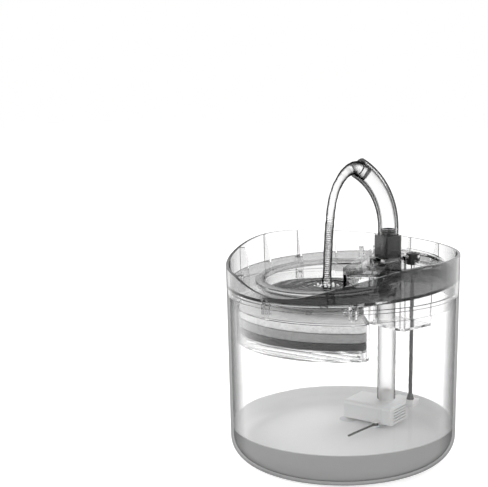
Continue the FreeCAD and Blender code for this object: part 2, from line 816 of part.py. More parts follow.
def make_motor():
    """C-shaped stator core and the coil round its leg."""
    core_start = f"{CHAMBER_START} - {TUNNEL_LENGTH} + core_offset"
    tunnel_outer = f"({TUNNEL_BORE} + tunnel_wall + seat_gap)"
    leg_front = "(pump_front + pump_wall + coil_depth / 2 - core_arm)"
    depth = f"riser_y + {tunnel_outer} - {leg_front}"
    arm_low = f"rotor_height - {tunnel_outer} - core_arm"
    core = fuse(
        "core_pieces",
        box("core_low_arm", "core_length", depth, "core_arm", core_start, leg_front, arm_low),
        box("core_high_arm", "core_length", depth, "core_arm", core_start, leg_front,
            f"rotor_height + {tunnel_outer}"),
        box("core_leg", "core_length", "2 * core_arm", f"2 * {tunnel_outer} + 2 * core_arm", core_start,
            leg_front, arm_low),
    )
    keep("stator_core", core)
    coil_front = "pump_front + pump_wall + seat_gap"
    keep("stator_coil", cut(
        "stator_coil",
        box("coil_block", "core_length + 2 * core_arm", "coil_depth", f"2 * {tunnel_outer} - 2 * seat_gap",
            f"{core_start} - core_arm", coil_front, f"rotor_height - {tunnel_outer} + seat_gap"),
        box("coil_window", "core_length + 2 * seat_gap", "2 * core_arm + 2 * seat_gap",
            f"2 * {tunnel_outer}", f"{core_start} - seat_gap", f"{leg_front} - seat_gap",
            f"rotor_height - {tunnel_outer}"),
    ))


def make_rotor():
    """Magnet and impeller, with the fixed shaft and rear bush they turn on."""
    magnet_start = f"({CHAMBER_START} - magnet_length - rotor_play)"
    bore = "shaft_radius + joint_gap"
    keep("rotor_magnet", cut(
        "rotor_magnet",
        lying_cylinder("magnet_stock", "magnet_radius", "magnet_length", magnet_start, **AXIS),
        lying_cylinder("magnet_bore", bore, "magnet_length", magnet_start, **AXIS),
    ))
    hub_start = f"({magnet_start} + magnet_length)"
    hub_length = "chamber_width - 3 * rotor_play"
    pieces = [lying_cylinder("hub", "hub_radius", hub_length, hub_start, **AXIS)]
    for index in range(int(amount("blade_count"))):
        blade = box(f"blade_{index}", "chamber_width - 3 * blade_gap", "blade_radius", "blade_thickness",
                    y="0", z="-blade_thickness / 2")
        holder = group(f"blade_holder_{index}", blade)
        bind(holder, x=f"{CHAMBER_START} + blade_gap", **AXIS)
        turned(holder, (1, 0, 0), f"360 * {index} / blade_count")
        pieces.append(holder)
    hole = lying_cylinder("impeller_bore", bore, f"{hub_length} + 2 * overlap",
                          f"{hub_start} - overlap", **AXIS)
    keep("impeller", cut("impeller", fuse("impeller_pieces", *pieces), hole))
    shaft_start = f"{CHAMBER_START} - {TUNNEL_LENGTH}"
    keep("impeller_shaft", lying_cylinder("impeller_shaft", "shaft_radius",
                                          f"{TUNNEL_LENGTH} + chamber_width", shaft_start, **AXIS))
    keep("rear_bush", cut(
        "rear_bush",
        lying_cylinder("rear_bush_stock", TUNNEL_BORE, "bush_length", shaft_start, **AXIS),
        lying_cylinder("rear_bush_bore", "shaft_radius", "bush_length", shaft_start, **AXIS),
    ))


def make_strainer():
    """Plate over the impeller chamber, slotted cover and the foam between them."""
    plate = cut(
        "volute_stock",
        rounded_block("volute_block", CHAMBER_END, "plate_thickness"),
        cut("inlet_ring",
            lying_cylinder("inlet_outer", "2 * hub_radius", "plate_thickness", CHAMBER_END, **AXIS),
            lying_cylinder("inlet_hub", "2 * shaft_radius", "plate_thickness", CHAMBER_END, **AXIS)),
    )
    spokes = box("inlet_spoke", "plate_thickness", "4 * hub_radius", "blade_thickness", CHAMBER_END,
                 "riser_y - 2 * hub_radius", "rotor_height - blade_thickness / 2")
    whole = fuse("volute_pieces", plate, spokes)
    keep("volute_plate", cut("volute_plate", whole, arm_room("plate_arm_room")))
    start = f"({CHAMBER_END} + plate_thickness)"
    slots = []
    for index in range(int(amount("slot_count"))):
        slots.append(box(f"slot_{index}", "strainer_length", "pump_depth - 6 * pump_wall", "slot_width",
                         f"{start} + pump_wall", "pump_front + 3 * pump_wall",
                         f"pump_bottom + ({index} + 1) * pump_height / (slot_count + 1) - slot_width / 2"))
    keep("strainer_cover", cut(
        "strainer_cover",
        rounded_block("strainer_stock", start, "strainer_length"),
        pump_box("strainer_room", start, "strainer_length - pump_wall", "pump_wall"),
        arm_room("strainer_arm_room"),
        *slots,
    ))
    keep("intake_foam", cut(
        "intake_foam",
        pump_box("foam_stock", f"{start} + seat_gap", "strainer_length - pump_wall - 2 * seat_gap",
                 "pump_wall + seat_gap"),
        arm_room("foam_arm_room", grow="pump_wall"),
    ))


def arm_room(name, grow="0"):
    """Room for the casing's cable arm and its fit gap."""
    room = f"(seat_gap + {grow})"
    return box(name, "4 * arm_width", f"arm_width + 2 * {room}", f"arm_height + {room} + overlap",
               "riser_x", f"lead_y - arm_width / 2 - {room}",
               f"pump_bottom + pump_height - arm_height - {room}")


def make_feet():
    """Four suction feet under the pump."""
    feet = []
    radius = "foot_radius"
    height = "pump_bottom - tank_floor - foot_gap"
    near = "pump_front + foot_radius - foot_overhang"
    far = "pump_front + pump_depth - foot_radius + foot_overhang"
    spots = (
        ("pump_west + foot_inset", near),
        ("pump_west + foot_inset", far),
        ("riser_x - foot_inset", near),
        ("riser_x - foot_inset", far),
    )
    for index, (x, y) in enumerate(spots):
        skirt = cone(f"foot_skirt_{index}", radius, "foot_neck", f"({height}) * foot_skirt_share", x, y,
                     "tank_floor + foot_gap")
        stem = cylinder(f"foot_stem_{index}", "foot_neck", height, x, y, "tank_floor + foot_gap")
        feet.append(fuse(f"foot_{index}", skirt, stem))
    keep("suction_feet", group("suction_feet", *feet))


def make_lever():
    """Flow lever: a pivot eye on the pump's front with a slim arm sloping to the tank floor."""
    depth = "pump_front - lever_pivot - seat_gap"
    eye = cylinder("lever_eye", "lever_pivot", "2 * (lever_radius + eye_rim)", "lever_x", depth,
                   "lever_rise - lever_radius - eye_rim")
    arm = cylinder("lever_arm", "lever_radius", "lever_reach")
    drop = "asin((lever_rise - tank_floor - lever_radius - lever_tip_gap) / lever_reach)"
    heading = amount("lever_heading_angle")
    tilt = FreeCAD.Rotation(FreeCAD.Vector(0, 0, 1), heading) * FreeCAD.Rotation(
        FreeCAD.Vector(0, 1, 0), 90 + amount(drop))
    arm.Placement.Rotation = tilt
    bind(arm, x="lever_x", y=depth, z="lever_rise")
    hole = cylinder("lever_hole", "lever_pivot / 2", "4 * (lever_radius + eye_rim)", "lever_x", depth,
                    "lever_rise - 2 * (lever_radius + eye_rim)")
    keep("flow_lever", cut("flow_lever", fuse("lever_pieces", eye, arm), hole))
    bottom = "lever_rise - lever_radius - pin_reach"
    pin = cylinder("lever_pin_stock", "lever_pivot / 2 - joint_gap", "2 * (lever_radius + pin_reach)",
                   "lever_x", depth, bottom)
    plan = ("2 * lever_pivot", "2 * lever_pivot + seat_gap", "lug_thickness", "lever_x - lever_pivot",
            "pump_front - 2 * lever_pivot - seat_gap")
    low = box("lever_lug_low", *plan, bottom)
    high = box("lever_lug_high", *plan, "lever_rise + lever_radius + pin_reach - lug_thickness")
    keep("lever_bracket", fuse("lever_bracket", pin, low, high))


# Power lead, its gland and its inlet


def make_lead():
    """Power lead, the gland where it leaves the pump, and the inlet in the lid."""
    top = "pump_bottom + pump_height"
    keep("lead_gland", cut(
        "lead_gland",
        cone("gland_stock", "gland_radius", "lead_radius + gland_lip", "gland_height", "lead_x",
             "lead_y", top),
        cylinder("gland_bore", "lead_radius", "gland_height", "lead_x", "lead_y", top),
    ))
    inlet_bottom = f"({inlet_top()} - inlet_depth - inlet_floor)"
    keep("power_lead", cylinder("power_lead", "lead_radius", f"{inlet_bottom} - ({top}) + arm_height / 2",
                                "lead_x", "lead_y", f"{top} - arm_height / 2"))
    keep("power_inlet", cut(
        "power_inlet",
        cylinder("inlet_stock", "inlet_radius", f"{inlet_top()} - {inlet_bottom}", "lead_x", "lead_y",
                 inlet_bottom),
        cylinder("inlet_hole", "inlet_bore", "inlet_depth + overlap", "lead_x", "lead_y",
                 f"{inlet_top()} - inlet_depth"),
    ))
    keep("inlet_pin", cylinder("inlet_pin", "inlet_pin", "inlet_depth - pin_set", "lead_x", "lead_y",
                               f"{inlet_top()} - inlet_depth"))


def inlet_top():
    """Height of the inlet's top face, a little above the cover."""
    return "(tank_height + deck_rise + cover_height + lead_y * tan(deck_slope) + inlet_stand)"


# Half-moon filter box and its contents


def half_moon(inset, low, height):
    """Half-moon prism concentric with the tank, its flat side square to the box's heading."""
    radius = amount("box_radius") - inset
    chord = amount("box_chord") - inset
    corner = amount("box_corner") - inset
    reach = 4 * radius
    disc = Part.makeCylinder(radius, height, FreeCAD.Vector(0, 0, low))
    waste = Part.makeBox(reach, reach, height, FreeCAD.Vector(chord, -reach / 2, low))
    shape = disc.cut(waste)
    upright = [edge for edge in shape.Edges if edge.BoundBox.ZLength > height / 2
               and edge.BoundBox.XLength < TOLERANCE and edge.BoundBox.XMax < chord + TOLERANCE
               and edge.BoundBox.XMin > chord - TOLERANCE]
    shape = shape.makeFillet(corner, upright)
    shape.rotate(FreeCAD.Vector(), FreeCAD.Vector(0, 0, 1), amount("box_turn_angle"))
    return shape


def slots_shape(inset, low, height):
    """Row of parallel slots inside a half-moon."""
    field = half_moon(inset, low, height)
    reach = 2 * amount("box_radius")
    bars = []
    pitch = amount("bar_pitch")
    across = -amount("box_radius")
    while across < amount("box_radius"):
        bars.append(Part.makeBox(reach, amount("bar_pitch - bar_width"), height,
                                 FreeCAD.Vector(-reach / 2, across, low)))
        across += pitch
    return field.common(Part.makeCompound(bars))


def make_filter():
    """Filter box with its posts, the raised grille in it, and three filter layers."""
    bottom = amount("box_bottom")
    height = amount("box_top") - bottom
    wall = amount("box_wall")
    shell = half_moon(0, bottom, height).cut(half_moon(wall, bottom + wall, height))
    shell = shell.cut(slots_shape(4 * wall, bottom - wall, 3 * wall))
    posts = []
    for angle in POST_ANGLES:
        x, y = post_spot(angle)
        posts.append(Part.makeCylinder(amount("post_radius"), amount("post_height + post_root"),
                                       FreeCAD.Vector(x, y, amount("box_top - post_root"))))
    keep("filter_box", solid("filter_box", shell.multiFuse(posts)))
    inset = wall + amount("pad_gap")
    grille_low = bottom + wall
    rise = amount("grille_rise")
    thickness = amount("grille_thickness")
    mesh = half_moon(inset, grille_low, rise).cut(
        half_moon(inset + thickness, grille_low, rise - thickness))
    mesh = mesh.cut(slots_shape(4 * wall, grille_low, 2 * rise))
    keep("filter_grille", solid("filter_grille", mesh))
    low = grille_low + rise
    for node, size in (("filter_carbon", "carbon_thickness"), ("filter_resin", "resin_thickness"),
                       ("filter_cotton", "cotton_thickness")):
        keep(node, solid(node, half_moon(inset, low, amount(size))))
        low += amount(size)


def check_and_write():
    """Stop on any failed feature or bad sub-part, then write one STEP file for each node."""
    doc.recompute()
    failed = [thing.Name for thing in doc.Objects if {"Invalid", "Error"} & set(thing.State)]
    if failed:
        raise RuntimeError("features that failed: " + ", ".join(failed))
    for node, thing in parts.items():
        if thing.Shape.isNull() or not thing.Shape.isValid() or not thing.Shape.Solids:
            raise RuntimeError("bad shape: " + node)
    os.makedirs("parts", exist_ok=True)
    for node, thing in parts.items():
        thing.Shape.exportStep(f"parts/{node}.step")
        print(node, len(thing.Shape.Solids), round(thing.Shape.Volume, 1))


for make in (make_tank, make_lid, make_dish, make_cover, make_well, make_socket, make_connector,
             make_neck, make_riser, make_casing, make_motor, make_rotor, make_strainer, make_feet,
             make_lever, make_lead, make_filter):
    make()
check_and_write()
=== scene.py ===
"""Pet water fountain: finishes, filter pads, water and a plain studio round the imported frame."""
import json
import logging
import math
from contextlib import contextmanager
from dataclasses import dataclass
from enum import Enum
from typing import Callable, Iterator

import bpy
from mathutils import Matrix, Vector

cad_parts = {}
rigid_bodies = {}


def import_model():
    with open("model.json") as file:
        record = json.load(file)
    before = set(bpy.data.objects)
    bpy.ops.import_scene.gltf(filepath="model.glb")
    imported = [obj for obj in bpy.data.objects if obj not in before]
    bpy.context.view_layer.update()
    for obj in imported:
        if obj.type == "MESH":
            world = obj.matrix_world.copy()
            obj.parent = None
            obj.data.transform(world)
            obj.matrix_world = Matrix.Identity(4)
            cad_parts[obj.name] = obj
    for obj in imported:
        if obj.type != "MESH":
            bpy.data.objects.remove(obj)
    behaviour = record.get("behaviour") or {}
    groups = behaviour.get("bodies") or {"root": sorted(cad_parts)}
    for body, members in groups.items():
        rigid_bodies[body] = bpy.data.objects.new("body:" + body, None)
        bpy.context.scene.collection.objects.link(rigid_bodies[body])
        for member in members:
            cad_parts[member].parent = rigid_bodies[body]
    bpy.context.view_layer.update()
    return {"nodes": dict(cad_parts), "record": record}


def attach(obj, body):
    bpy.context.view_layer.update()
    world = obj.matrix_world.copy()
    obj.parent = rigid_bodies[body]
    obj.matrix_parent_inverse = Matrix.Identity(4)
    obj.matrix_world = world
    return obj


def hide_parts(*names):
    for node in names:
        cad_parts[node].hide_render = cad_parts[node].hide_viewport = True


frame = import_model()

Colour = tuple[float, float, float, float]
Point = tuple[float, float, float]
Output = tuple[bpy.types.Node, str]
FaceTest = Callable[[Vector, Vector], bool]

LOG = logging.getLogger("fountain")
MM = 0.001
# Half the air gap between clear pieces that touch.
AIR_GAP = 0.04 * MM
# Corners of the CAD mesh that lie nearer than this, in metres, are one corner.
WELD = 1e-6
# Edges sharper than this, in degrees, stay sharp on a curved surface.
SHARP_ANGLE = 32.0
# Upward part of a normal above which a face counts as level.
LEVEL = 0.9
# Scale of the wave texture at which its bands lie one metre apart.
BAND_SCALE = 0.314


# Helpers for working on meshes


def grey(value: float) -> Colour:
    """Neutral colour.

    Args:
        value: Its brightness.

    Returns:
        The colour, fully opaque.
    """
    return (value, value, value, 1.0)


def deselect_all() -> None:
    """Leave nothing selected, so that an operator acts only on what is picked next."""
    if bpy.context.object and bpy.context.object.mode != "OBJECT":
        bpy.ops.object.mode_set(mode="OBJECT")
    bpy.ops.object.select_all(action="DESELECT")


def activate(obj: bpy.types.Object) -> None:
    """Select one object and make it the active one.

    Args:
        obj: The object that the next operators act on.
    """
    deselect_all()
    obj.select_set(True)
    bpy.context.view_layer.objects.active = obj


@contextmanager
def editing(obj: bpy.types.Object) -> Iterator[None]:
    """Edit mode on one object with everything in it selected.

    Args:
        obj: The object to edit.

    Yields:
        Nothing. Edit mode ends with the block.
    """
    activate(obj)
    bpy.ops.object.mode_set(mode="EDIT")
    bpy.ops.mesh.select_all(action="SELECT")
    yield
    bpy.ops.object.mode_set(mode="OBJECT")


def finish_place(obj: bpy.types.Object) -> None:
    """Put an object's place into its mesh, so that the object sits at the origin.

    Args:
        obj: The object.
    """
    activate(obj)
    bpy.ops.object.transform_apply(location=True, rotation=True, scale=True)


def modify(obj: bpy.types.Object, kind: str, **settings: object) -> None:
    """Add one modifier and apply it.

    Args:
        obj: The object to change.
        kind: The modifier's type.
        settings: Values for the modifier.
    """
    activate(obj)
    modifier = obj.modifiers.new(kind.lower(), kind)
    for name, value in settings.items():
        setattr(modifier, name, value)
    bpy.ops.object.modifier_apply(modifier=modifier.name)


def shade_curved(obj: bpy.types.Object) -> None:
    """Shade an object smooth all but its sharp edges.

    Args:
        obj: The object.
    """
    activate(obj)
    bpy.ops.object.shade_smooth_by_angle(angle=math.radians(SHARP_ANGLE))


def shade_soft(obj: bpy.types.Object) -> None:
    """Shade an object smooth all over.

    Args:
        obj: The object.
    """
    activate(obj)
    bpy.ops.object.shade_smooth()


def merged_copy(node: str, name: str) -> bpy.types.Object:
    """Copy of a CAD node with its loose triangles joined and its curved faces smooth.

    Args:
        node: The CAD node.
        name: Name for the copy.

    Returns:
        The copy, at the origin.
    """
    obj = bpy.data.objects.new(name, frame["nodes"][node].data.copy())
    bpy.context.scene.collection.objects.link(obj)
    obj.data.name = name
    with editing(obj):
        bpy.ops.mesh.customdata_custom_splitnormals_clear()
        bpy.ops.mesh.remove_doubles(threshold=WELD)
    modify(obj, "DISPLACE", strength=-AIR_GAP, mid_level=0.0)
    shade_curved(obj)
    return obj


def ripple_surface(obj: bpy.types.Object, name: str, size: float, depth: float, middle: float) -> None:
    """Push an object's surface in and out by a cloudy noise.

    Args:
        obj: The object.
        name: Name for the noise.
        size: Size of its lumps in metres.
        depth: Height of the lumps in metres.
        middle: Value of the noise that leaves the surface where it is.
    """
    texture = bpy.data.textures.new(name, "CLOUDS")
    texture.noise_scale = size
    modify(obj, "DISPLACE", texture=texture, texture_coords="LOCAL", strength=depth, mid_level=middle)


def set_material(obj: bpy.types.Object, material: bpy.types.Material) -> None:
    """Give the whole of an object one material.

    Args:
        obj: The object.
        material: Its material.
    """
    if not obj.material_slots:
        obj.data.materials.append(material)
    for place in obj.material_slots:
        place.material = material


def paint_faces(obj: bpy.types.Object, material: bpy.types.Material, wanted: FaceTest) -> None:
    """Give some of an object's faces a material of their own.

    Args:
        obj: The object, which has one material already.
        material: The faces' material.
        wanted: Test of a face's centre and normal.
    """
    obj.data.materials.append(material)
    index = len(obj.data.materials) - 1
    for face in obj.data.polygons:
        if wanted(face.center, face.normal):
            face.material_index = index


# Helpers for materials


class Graph:
    """Nodes of one material, world or node group."""

    def __init__(self, tree: bpy.types.NodeTree) -> None:
        """Keep the tree that the nodes go into.

        Args:
            tree: The tree.
        """
        self.tree = tree

    def add(self, kind: str, values: dict[str, object] | None = None, **settings: object) -> bpy.types.Node:
        """Add a node.

        Args:
            kind: The node's type.
            values: Numbers and colours for its input sockets, by socket name.
            settings: Values for the node's own settings.

        Returns:
            The node.
        """
        node = self.tree.nodes.new(kind)
        for name, value in settings.items():
            setattr(node, name, value)
        for name, value in (values or {}).items():
            node.inputs[name].default_value = value
        return node

    def link(self, source: Output, target: bpy.types.Node, name: str | int) -> None:
        """Join an output socket to an input socket.

        Args:
            source: Node and name of the output.
            target: Node that takes the value.
            name: Name or number of its input.
        """
        node, output = source
        self.tree.links.new(node.outputs[output], target.inputs[name])

    def ramp(self, source: Output, stops: list[tuple[float, Colour]]) -> Output:
        """Turn a number into a colour.

        Args:
            source: The number.
            stops: Places on the colour ramp and the colours there.

        Returns:
            The colour.
        """
        node = self.add("ShaderNodeValToRGB")
        elements = node.color_ramp.elements
        while len(elements) < len(stops):
            elements.new(1.0)
        for element, (place, colour) in zip(elements, stops):
            element.position = place
            element.color = colour
        self.link(source, node, "Fac")
        return node, "Color"

    def mask(self, source: Output, low: float, high: float,
             results: tuple[float, float] = (0.0, 1.0)) -> Output:
        """Stretch a range of a number over another range, and hold it at the ends.

        Args:
            source: The number.
            low: Its value where the result is the first one.
            high: Its value where the result is the second one.
            results: The two results.

        Returns:
            The result.
        """
        node = self.add("ShaderNodeMapRange", {"From Min": low, "From Max": high, "To Min": results[0],
                                               "To Max": results[1]})
        self.link(source, node, "Value")
        return node, "Result"

    def combine(self, operation: str, first: Output, second: Output) -> Output:
        """Work out one number from two.

        Args:
            operation: What to do with them.
            first: The first number.
            second: The second number.

        Returns:
            The result.
        """
        node = self.add("ShaderNodeMath", operation=operation)
        self.link(first, node, 0)
        self.link(second, node, 1)
        return node, "Value"

    def place(self) -> Output:
        """Place on the object.

        Returns:
            The object's own coordinates, in metres.
        """
        return self.add("ShaderNodeTexCoord"), "Object"

    def axes(self) -> bpy.types.Node:
        """Place on the object, axis by axis.

        Returns:
            Node with the outputs X, Y and Z.
        """
        node = self.add("ShaderNodeSeparateXYZ")
        self.link(self.place(), node, "Vector")
        return node

    def blend(self, share: Output, below: Output, above: Output) -> Output:
        """Mix two shaders.

        Args:
            share: How much the upper one shows.
            below: The lower one.
            above: The upper one.

        Returns:
            The mix.
        """
        node = self.add("ShaderNodeMixShader")
        self.link(share, node, "Fac")
        self.link(below, node, 1)
        self.link(above, node, 2)
        return node, "Shader"

    def bump(self, height: Output, shader: bpy.types.Node, depth: float) -> None:
        """Raise and sink a shader's surface.

        Args:
            height: The height, from 0 to 1.
            shader: The shader.
            depth: Height of the bumps in metres.
        """
        node = self.add("ShaderNodeBump", {"Strength": 1.0, "Distance": depth})
        self.link(height, node, "Height")
        self.link((node, "Normal"), shader, "Normal")


class Noise(Enum):
    """Kinds of noise that the finishes share, as detail and swirl."""

    SOFT = (3.0, 0.3)
    FINE = (6.0, 0.0)

    def group(self) -> bpy.types.NodeTree:
        """Node group of this noise, made once.

        Returns:
            The group, with inputs Vector, Scale, Low and High, and outputs Value and Height.
        """
        name = self.name.lower() + "_noise"
        group = bpy.data.node_groups.get(name)
        if group:
            return group
        group = bpy.data.node_groups.new(name, "ShaderNodeTree")
        group.interface.new_socket("Vector", in_out="INPUT", socket_type="NodeSocketVector")
        for socket, number in (("Scale", 200.0), ("Low", 0.0), ("High", 1.0)):
            made = group.interface.new_socket(socket, in_out="INPUT", socket_type="NodeSocketFloat")
            made.default_value = number
        group.interface.new_socket("Value", in_out="OUTPUT", socket_type="NodeSocketFloat")
        group.interface.new_socket("Height", in_out="OUTPUT", socket_type="NodeSocketFloat")
        graph = Graph(group)
        entry = graph.add("NodeGroupInput")
        leave = graph.add("NodeGroupOutput")
        detail, swirl = self.value
        noise = graph.add("ShaderNodeTexNoise", {"Detail": detail, "Roughness": 0.6, "Distortion": swirl})
        graph.link((entry, "Vector"), noise, "Vector")
        graph.link((entry, "Scale"), noise, "Scale")
        spread, result = graph.mask((noise, "Fac"), 0.3, 0.7)
        graph.link((entry, "Low"), spread, "To Min")
        graph.link((entry, "High"), spread, "To Max")
        graph.link((spread, result), leave, "Value")
        graph.link((noise, "Fac"), leave, "Height")
        return group

    def put(self, graph: Graph, values: dict[str, float]) -> bpy.types.Node:
        """Use this noise in a material, on the object's coordinates.

        Args:
            graph: The material's graph.
            values: Numbers for the group's inputs.

        Returns:
            The group's node.
        """
        node = graph.add("ShaderNodeGroup", node_tree=self.group())
        for name, value in values.items():
            node.inputs[name].default_value = value
        graph.link(graph.place(), node, "Vector")
        return node


def new_material(name: str) -> tuple[bpy.types.Material, Graph, bpy.types.Node]:
    """Empty material.

    Args:
        name: Its name.

    Returns:
        The material, its graph and its output node.
    """
    material = bpy.data.materials.new(name)
    material.use_nodes = True
    material.node_tree.nodes.clear()
    graph = Graph(material.node_tree)
    return material, graph, graph.add("ShaderNodeOutputMaterial")


# Finishes


@dataclass(frozen=True)
class PaintedWallShade:
    """Painted shade on part of a round wall, above a sloping deck, standing for the dark inside seen through
    the wall.

    Attributes:
        angles: Where the painted shade begins, is full, is full last and ends, in radians round the wall.
        tones: Colour multiplier at the first and at the last full angle.
        radius: The wall's inner radius in metres.
        deck: Height of the shade's lower edge at the middle, in metres, and its rise along Y.
        blur: Width of the shade's edge in the wall's thickness and along the deck, in metres.
    """

    angles: tuple[float, float, float, float] = (-1.76, -1.62, 0.5, 0.75)
    tones: tuple[float, float] = (0.12, 0.5)
    radius: float = 87.2 * MM
    deck: tuple[float, float] = (142.6 * MM, 0.0659)
    blur: tuple[float, float] = (0.2 * MM, 0.3 * MM)

    def apply(self, graph: Graph, colour: Output) -> Output:
        """Multiply a colour by the painted shade.

        Args:
            graph: The material's graph.
            colour: The colour without the shade.

        Returns:
            The shaded colour.
        """
        axes = graph.axes()
        angle = graph.combine("ARCTAN2", (axes, "Y"), (axes, "X"))
        flat = graph.add("ShaderNodeCombineXYZ")
        graph.link((axes, "X"), flat, "X")
        graph.link((axes, "Y"), flat, "Y")
        reach = graph.add("ShaderNodeVectorMath", operation="LENGTH")
        graph.link((flat, "Vector"), reach, 0)
        low, rise = self.deck
        height = graph.add("ShaderNodeMath", operation="MULTIPLY_ADD")
        height.inputs[1].default_value = -rise
        graph.link((axes, "Y"), height, 0)
        graph.link((axes, "Z"), height, 2)
        begin, full, last, end = self.angles
        total = graph.mask(angle, begin, full)
        for source, first, second in (
            (angle, end, last),
            ((reach, "Value"), self.radius, self.radius + self.blur[0]),
            ((height, "Value"), low, low + self.blur[1]),
        ):
            total = graph.combine("MULTIPLY", total, graph.mask(source, first, second))
        factor = graph.add("ShaderNodeMix", data_type="FLOAT")
        factor.inputs[2].default_value = 1.0
        graph.link(total, factor, 0)
        graph.link(graph.mask(angle, full, last, self.tones), factor, 3)
        # Darken the colour by the painted shade.
        shaded_colour = graph.add("ShaderNodeVectorMath", operation="SCALE")
        graph.link(colour, shaded_colour, 0)
        graph.link((factor, "Result"), shaded_colour, "Scale")
        return shaded_colour, "Vector"


@dataclass(frozen=True)
class ClearFinish:
    """Clear or smoky plastic, or water, that darkens where it is seen edge on, as painted shade.

    Attributes:
        name: The material's name.
        tones: How much light a wall lets through, as pairs of facing value and tone, from square on to
        edge on; the darker tones towards edge on are painted shade.
        ior: Index of refraction.
        rough: Lowest and highest roughness over the surface.
        lamps: Share of lamplight that one surface lets through.
        wave: Depth of the moulding waves in metres.
        wave_scale: Scale of the moulding waves.
        rings: Distance between ripples along Z in metres, 0 for none.
        calm: Heights in metres where those ripples begin and are full.
        gleam: How brightly it mirrors its surroundings.
        rim: Facing values where a dark outline of painted shade begins and is full, and its tone.
        waterline_shade: Height in metres below which water stands behind the wall, and the tone of the grey
            film of painted shade that lies on the wall there.
        shoreline: Width of that tone's edge in metres.
        painted_wall_shade: Painted shade on part of the wall.
    """

    name: str
    tones: tuple[tuple[float, float], ...]
    ior: float = 1.47
    rough: tuple[float, float] = (0.0, 0.03)
    lamps: float = 0.985
    wave: float = 0.00002
    wave_scale: float = 60.0
    rings: float = 0.0
    calm: tuple[float, float] = (205 * MM, 180 * MM)
    gleam: float = 0.3
    rim: tuple[float, float, float] | None = None
    waterline_shade: tuple[float, float] | None = None
    shoreline: float = 0.3 * MM
    painted_wall_shade: PaintedWallShade | None = None

    def build(self) -> bpy.types.Material:
        """Make the material.

        Returns:
            The material.
        """
        material, graph, out = new_material(self.name)
        shader = graph.add("ShaderNodeBsdfPrincipled", {"IOR": self.ior, "Transmission Weight": 1.0,
                                                        "Specular Tint": grey(self.gleam)})
        facing = graph.add("ShaderNodeLayerWeight", {"Blend": 0.5}), "Facing"
        # Darker towards edge on: painted shade on the wall's edges.
        shade = graph.ramp(facing, [(place, grey(tone)) for place, tone in self.tones])
        # Painted shade on part of the wall, where it is given.
        if self.painted_wall_shade:
            shade = self.painted_wall_shade.apply(graph, shade)
        graph.link(shade, shader, "Base Color")
        wear = Noise.SOFT.put(graph, {"Scale": self.wave_scale, "Low": self.rough[0], "High": self.rough[1]})
        graph.link((wear, "Value"), shader, "Roughness")
        graph.bump(self.ripples(graph) if self.rings else (wear, "Height"), shader, self.wave)
        surface = shader, "BSDF"
        # Grey film below the water line: painted shade of the water behind the wall.
        if self.waterline_shade:
            level, tone = self.waterline_shade
            below_waterline = graph.mask((graph.axes(), "Z"), level + self.shoreline, level)
            surface = self.film(graph, surface, below_waterline, tone)
        # Dark outline where the surface is seen edge on: painted shade.
        if self.rim:
            begin, full, tone = self.rim
            surface = self.film(graph, surface, graph.mask(facing, begin, full), tone)
        path = graph.add("ShaderNodeLightPath")
        lit = graph.combine("MAXIMUM", (path, "Is Shadow Ray"), (path, "Is Diffuse Ray"))
        graph.link(self.film(graph, surface, lit, self.lamps), out, "Surface")
        return material

    def ripples(self, graph: Graph) -> Output:
        """Ripples one above the other, which die out towards the calm top.

        Args:
            graph: The material's graph.

        Returns:
            Their height.
        """
        bands = graph.add("ShaderNodeTexWave", {"Scale": BAND_SCALE / self.rings, "Distortion": 1.5},
                          bands_direction="Z")
        graph.link(graph.place(), bands, "Vector")
        return graph.combine("MULTIPLY", (bands, "Fac"), graph.mask((graph.axes(), "Z"), *self.calm))

    def film(self, graph: Graph, surface: Output, share: Output, tone: float) -> Output:
        """Lay an even grey film over part of a surface.

        Args:
            graph: The material's graph.
            surface: The surface's shader.
            share: How much the film shows.
            tone: Share of light that the film lets through.

        Returns:
            The mix of the two.
        """
        sheet = graph.add("ShaderNodeBsdfTransparent", {"Color": grey(tone)})
        return graph.blend(share, surface, (sheet, "BSDF"))


@dataclass(frozen=True)
class GreyWaterFinish:
    """Water seen through the tank's wall: an even grey outside, paler from within; the darker grey outside is
    painted shade and the paler one within painted light.

    Attributes:
        name: The material's name.
        outside: Colour seen from outside.
        inside: Colour seen through the water's surface.
        cover: How much it hides, from 0 to 1.
    """

    name: str
    outside: Colour
    inside: Colour
    cover: float

    def build(self) -> bpy.types.Material:
        """Make the material.

        Returns:
            The material.
        """
        material, graph, out = new_material(self.name)
        shader = graph.add("ShaderNodeBsdfPrincipled", {"Roughness": 0.35, "Alpha": self.cover})
        side = graph.add("ShaderNodeNewGeometry"), "Backfacing"
        # Darker seen from outside, paler from within: painted shade and painted light.
        graph.link(graph.ramp(side, [(0.0, self.outside), (1.0, self.inside)]), shader, "Base Color")
        graph.link((shader, "BSDF"), out, "Surface")
        return material


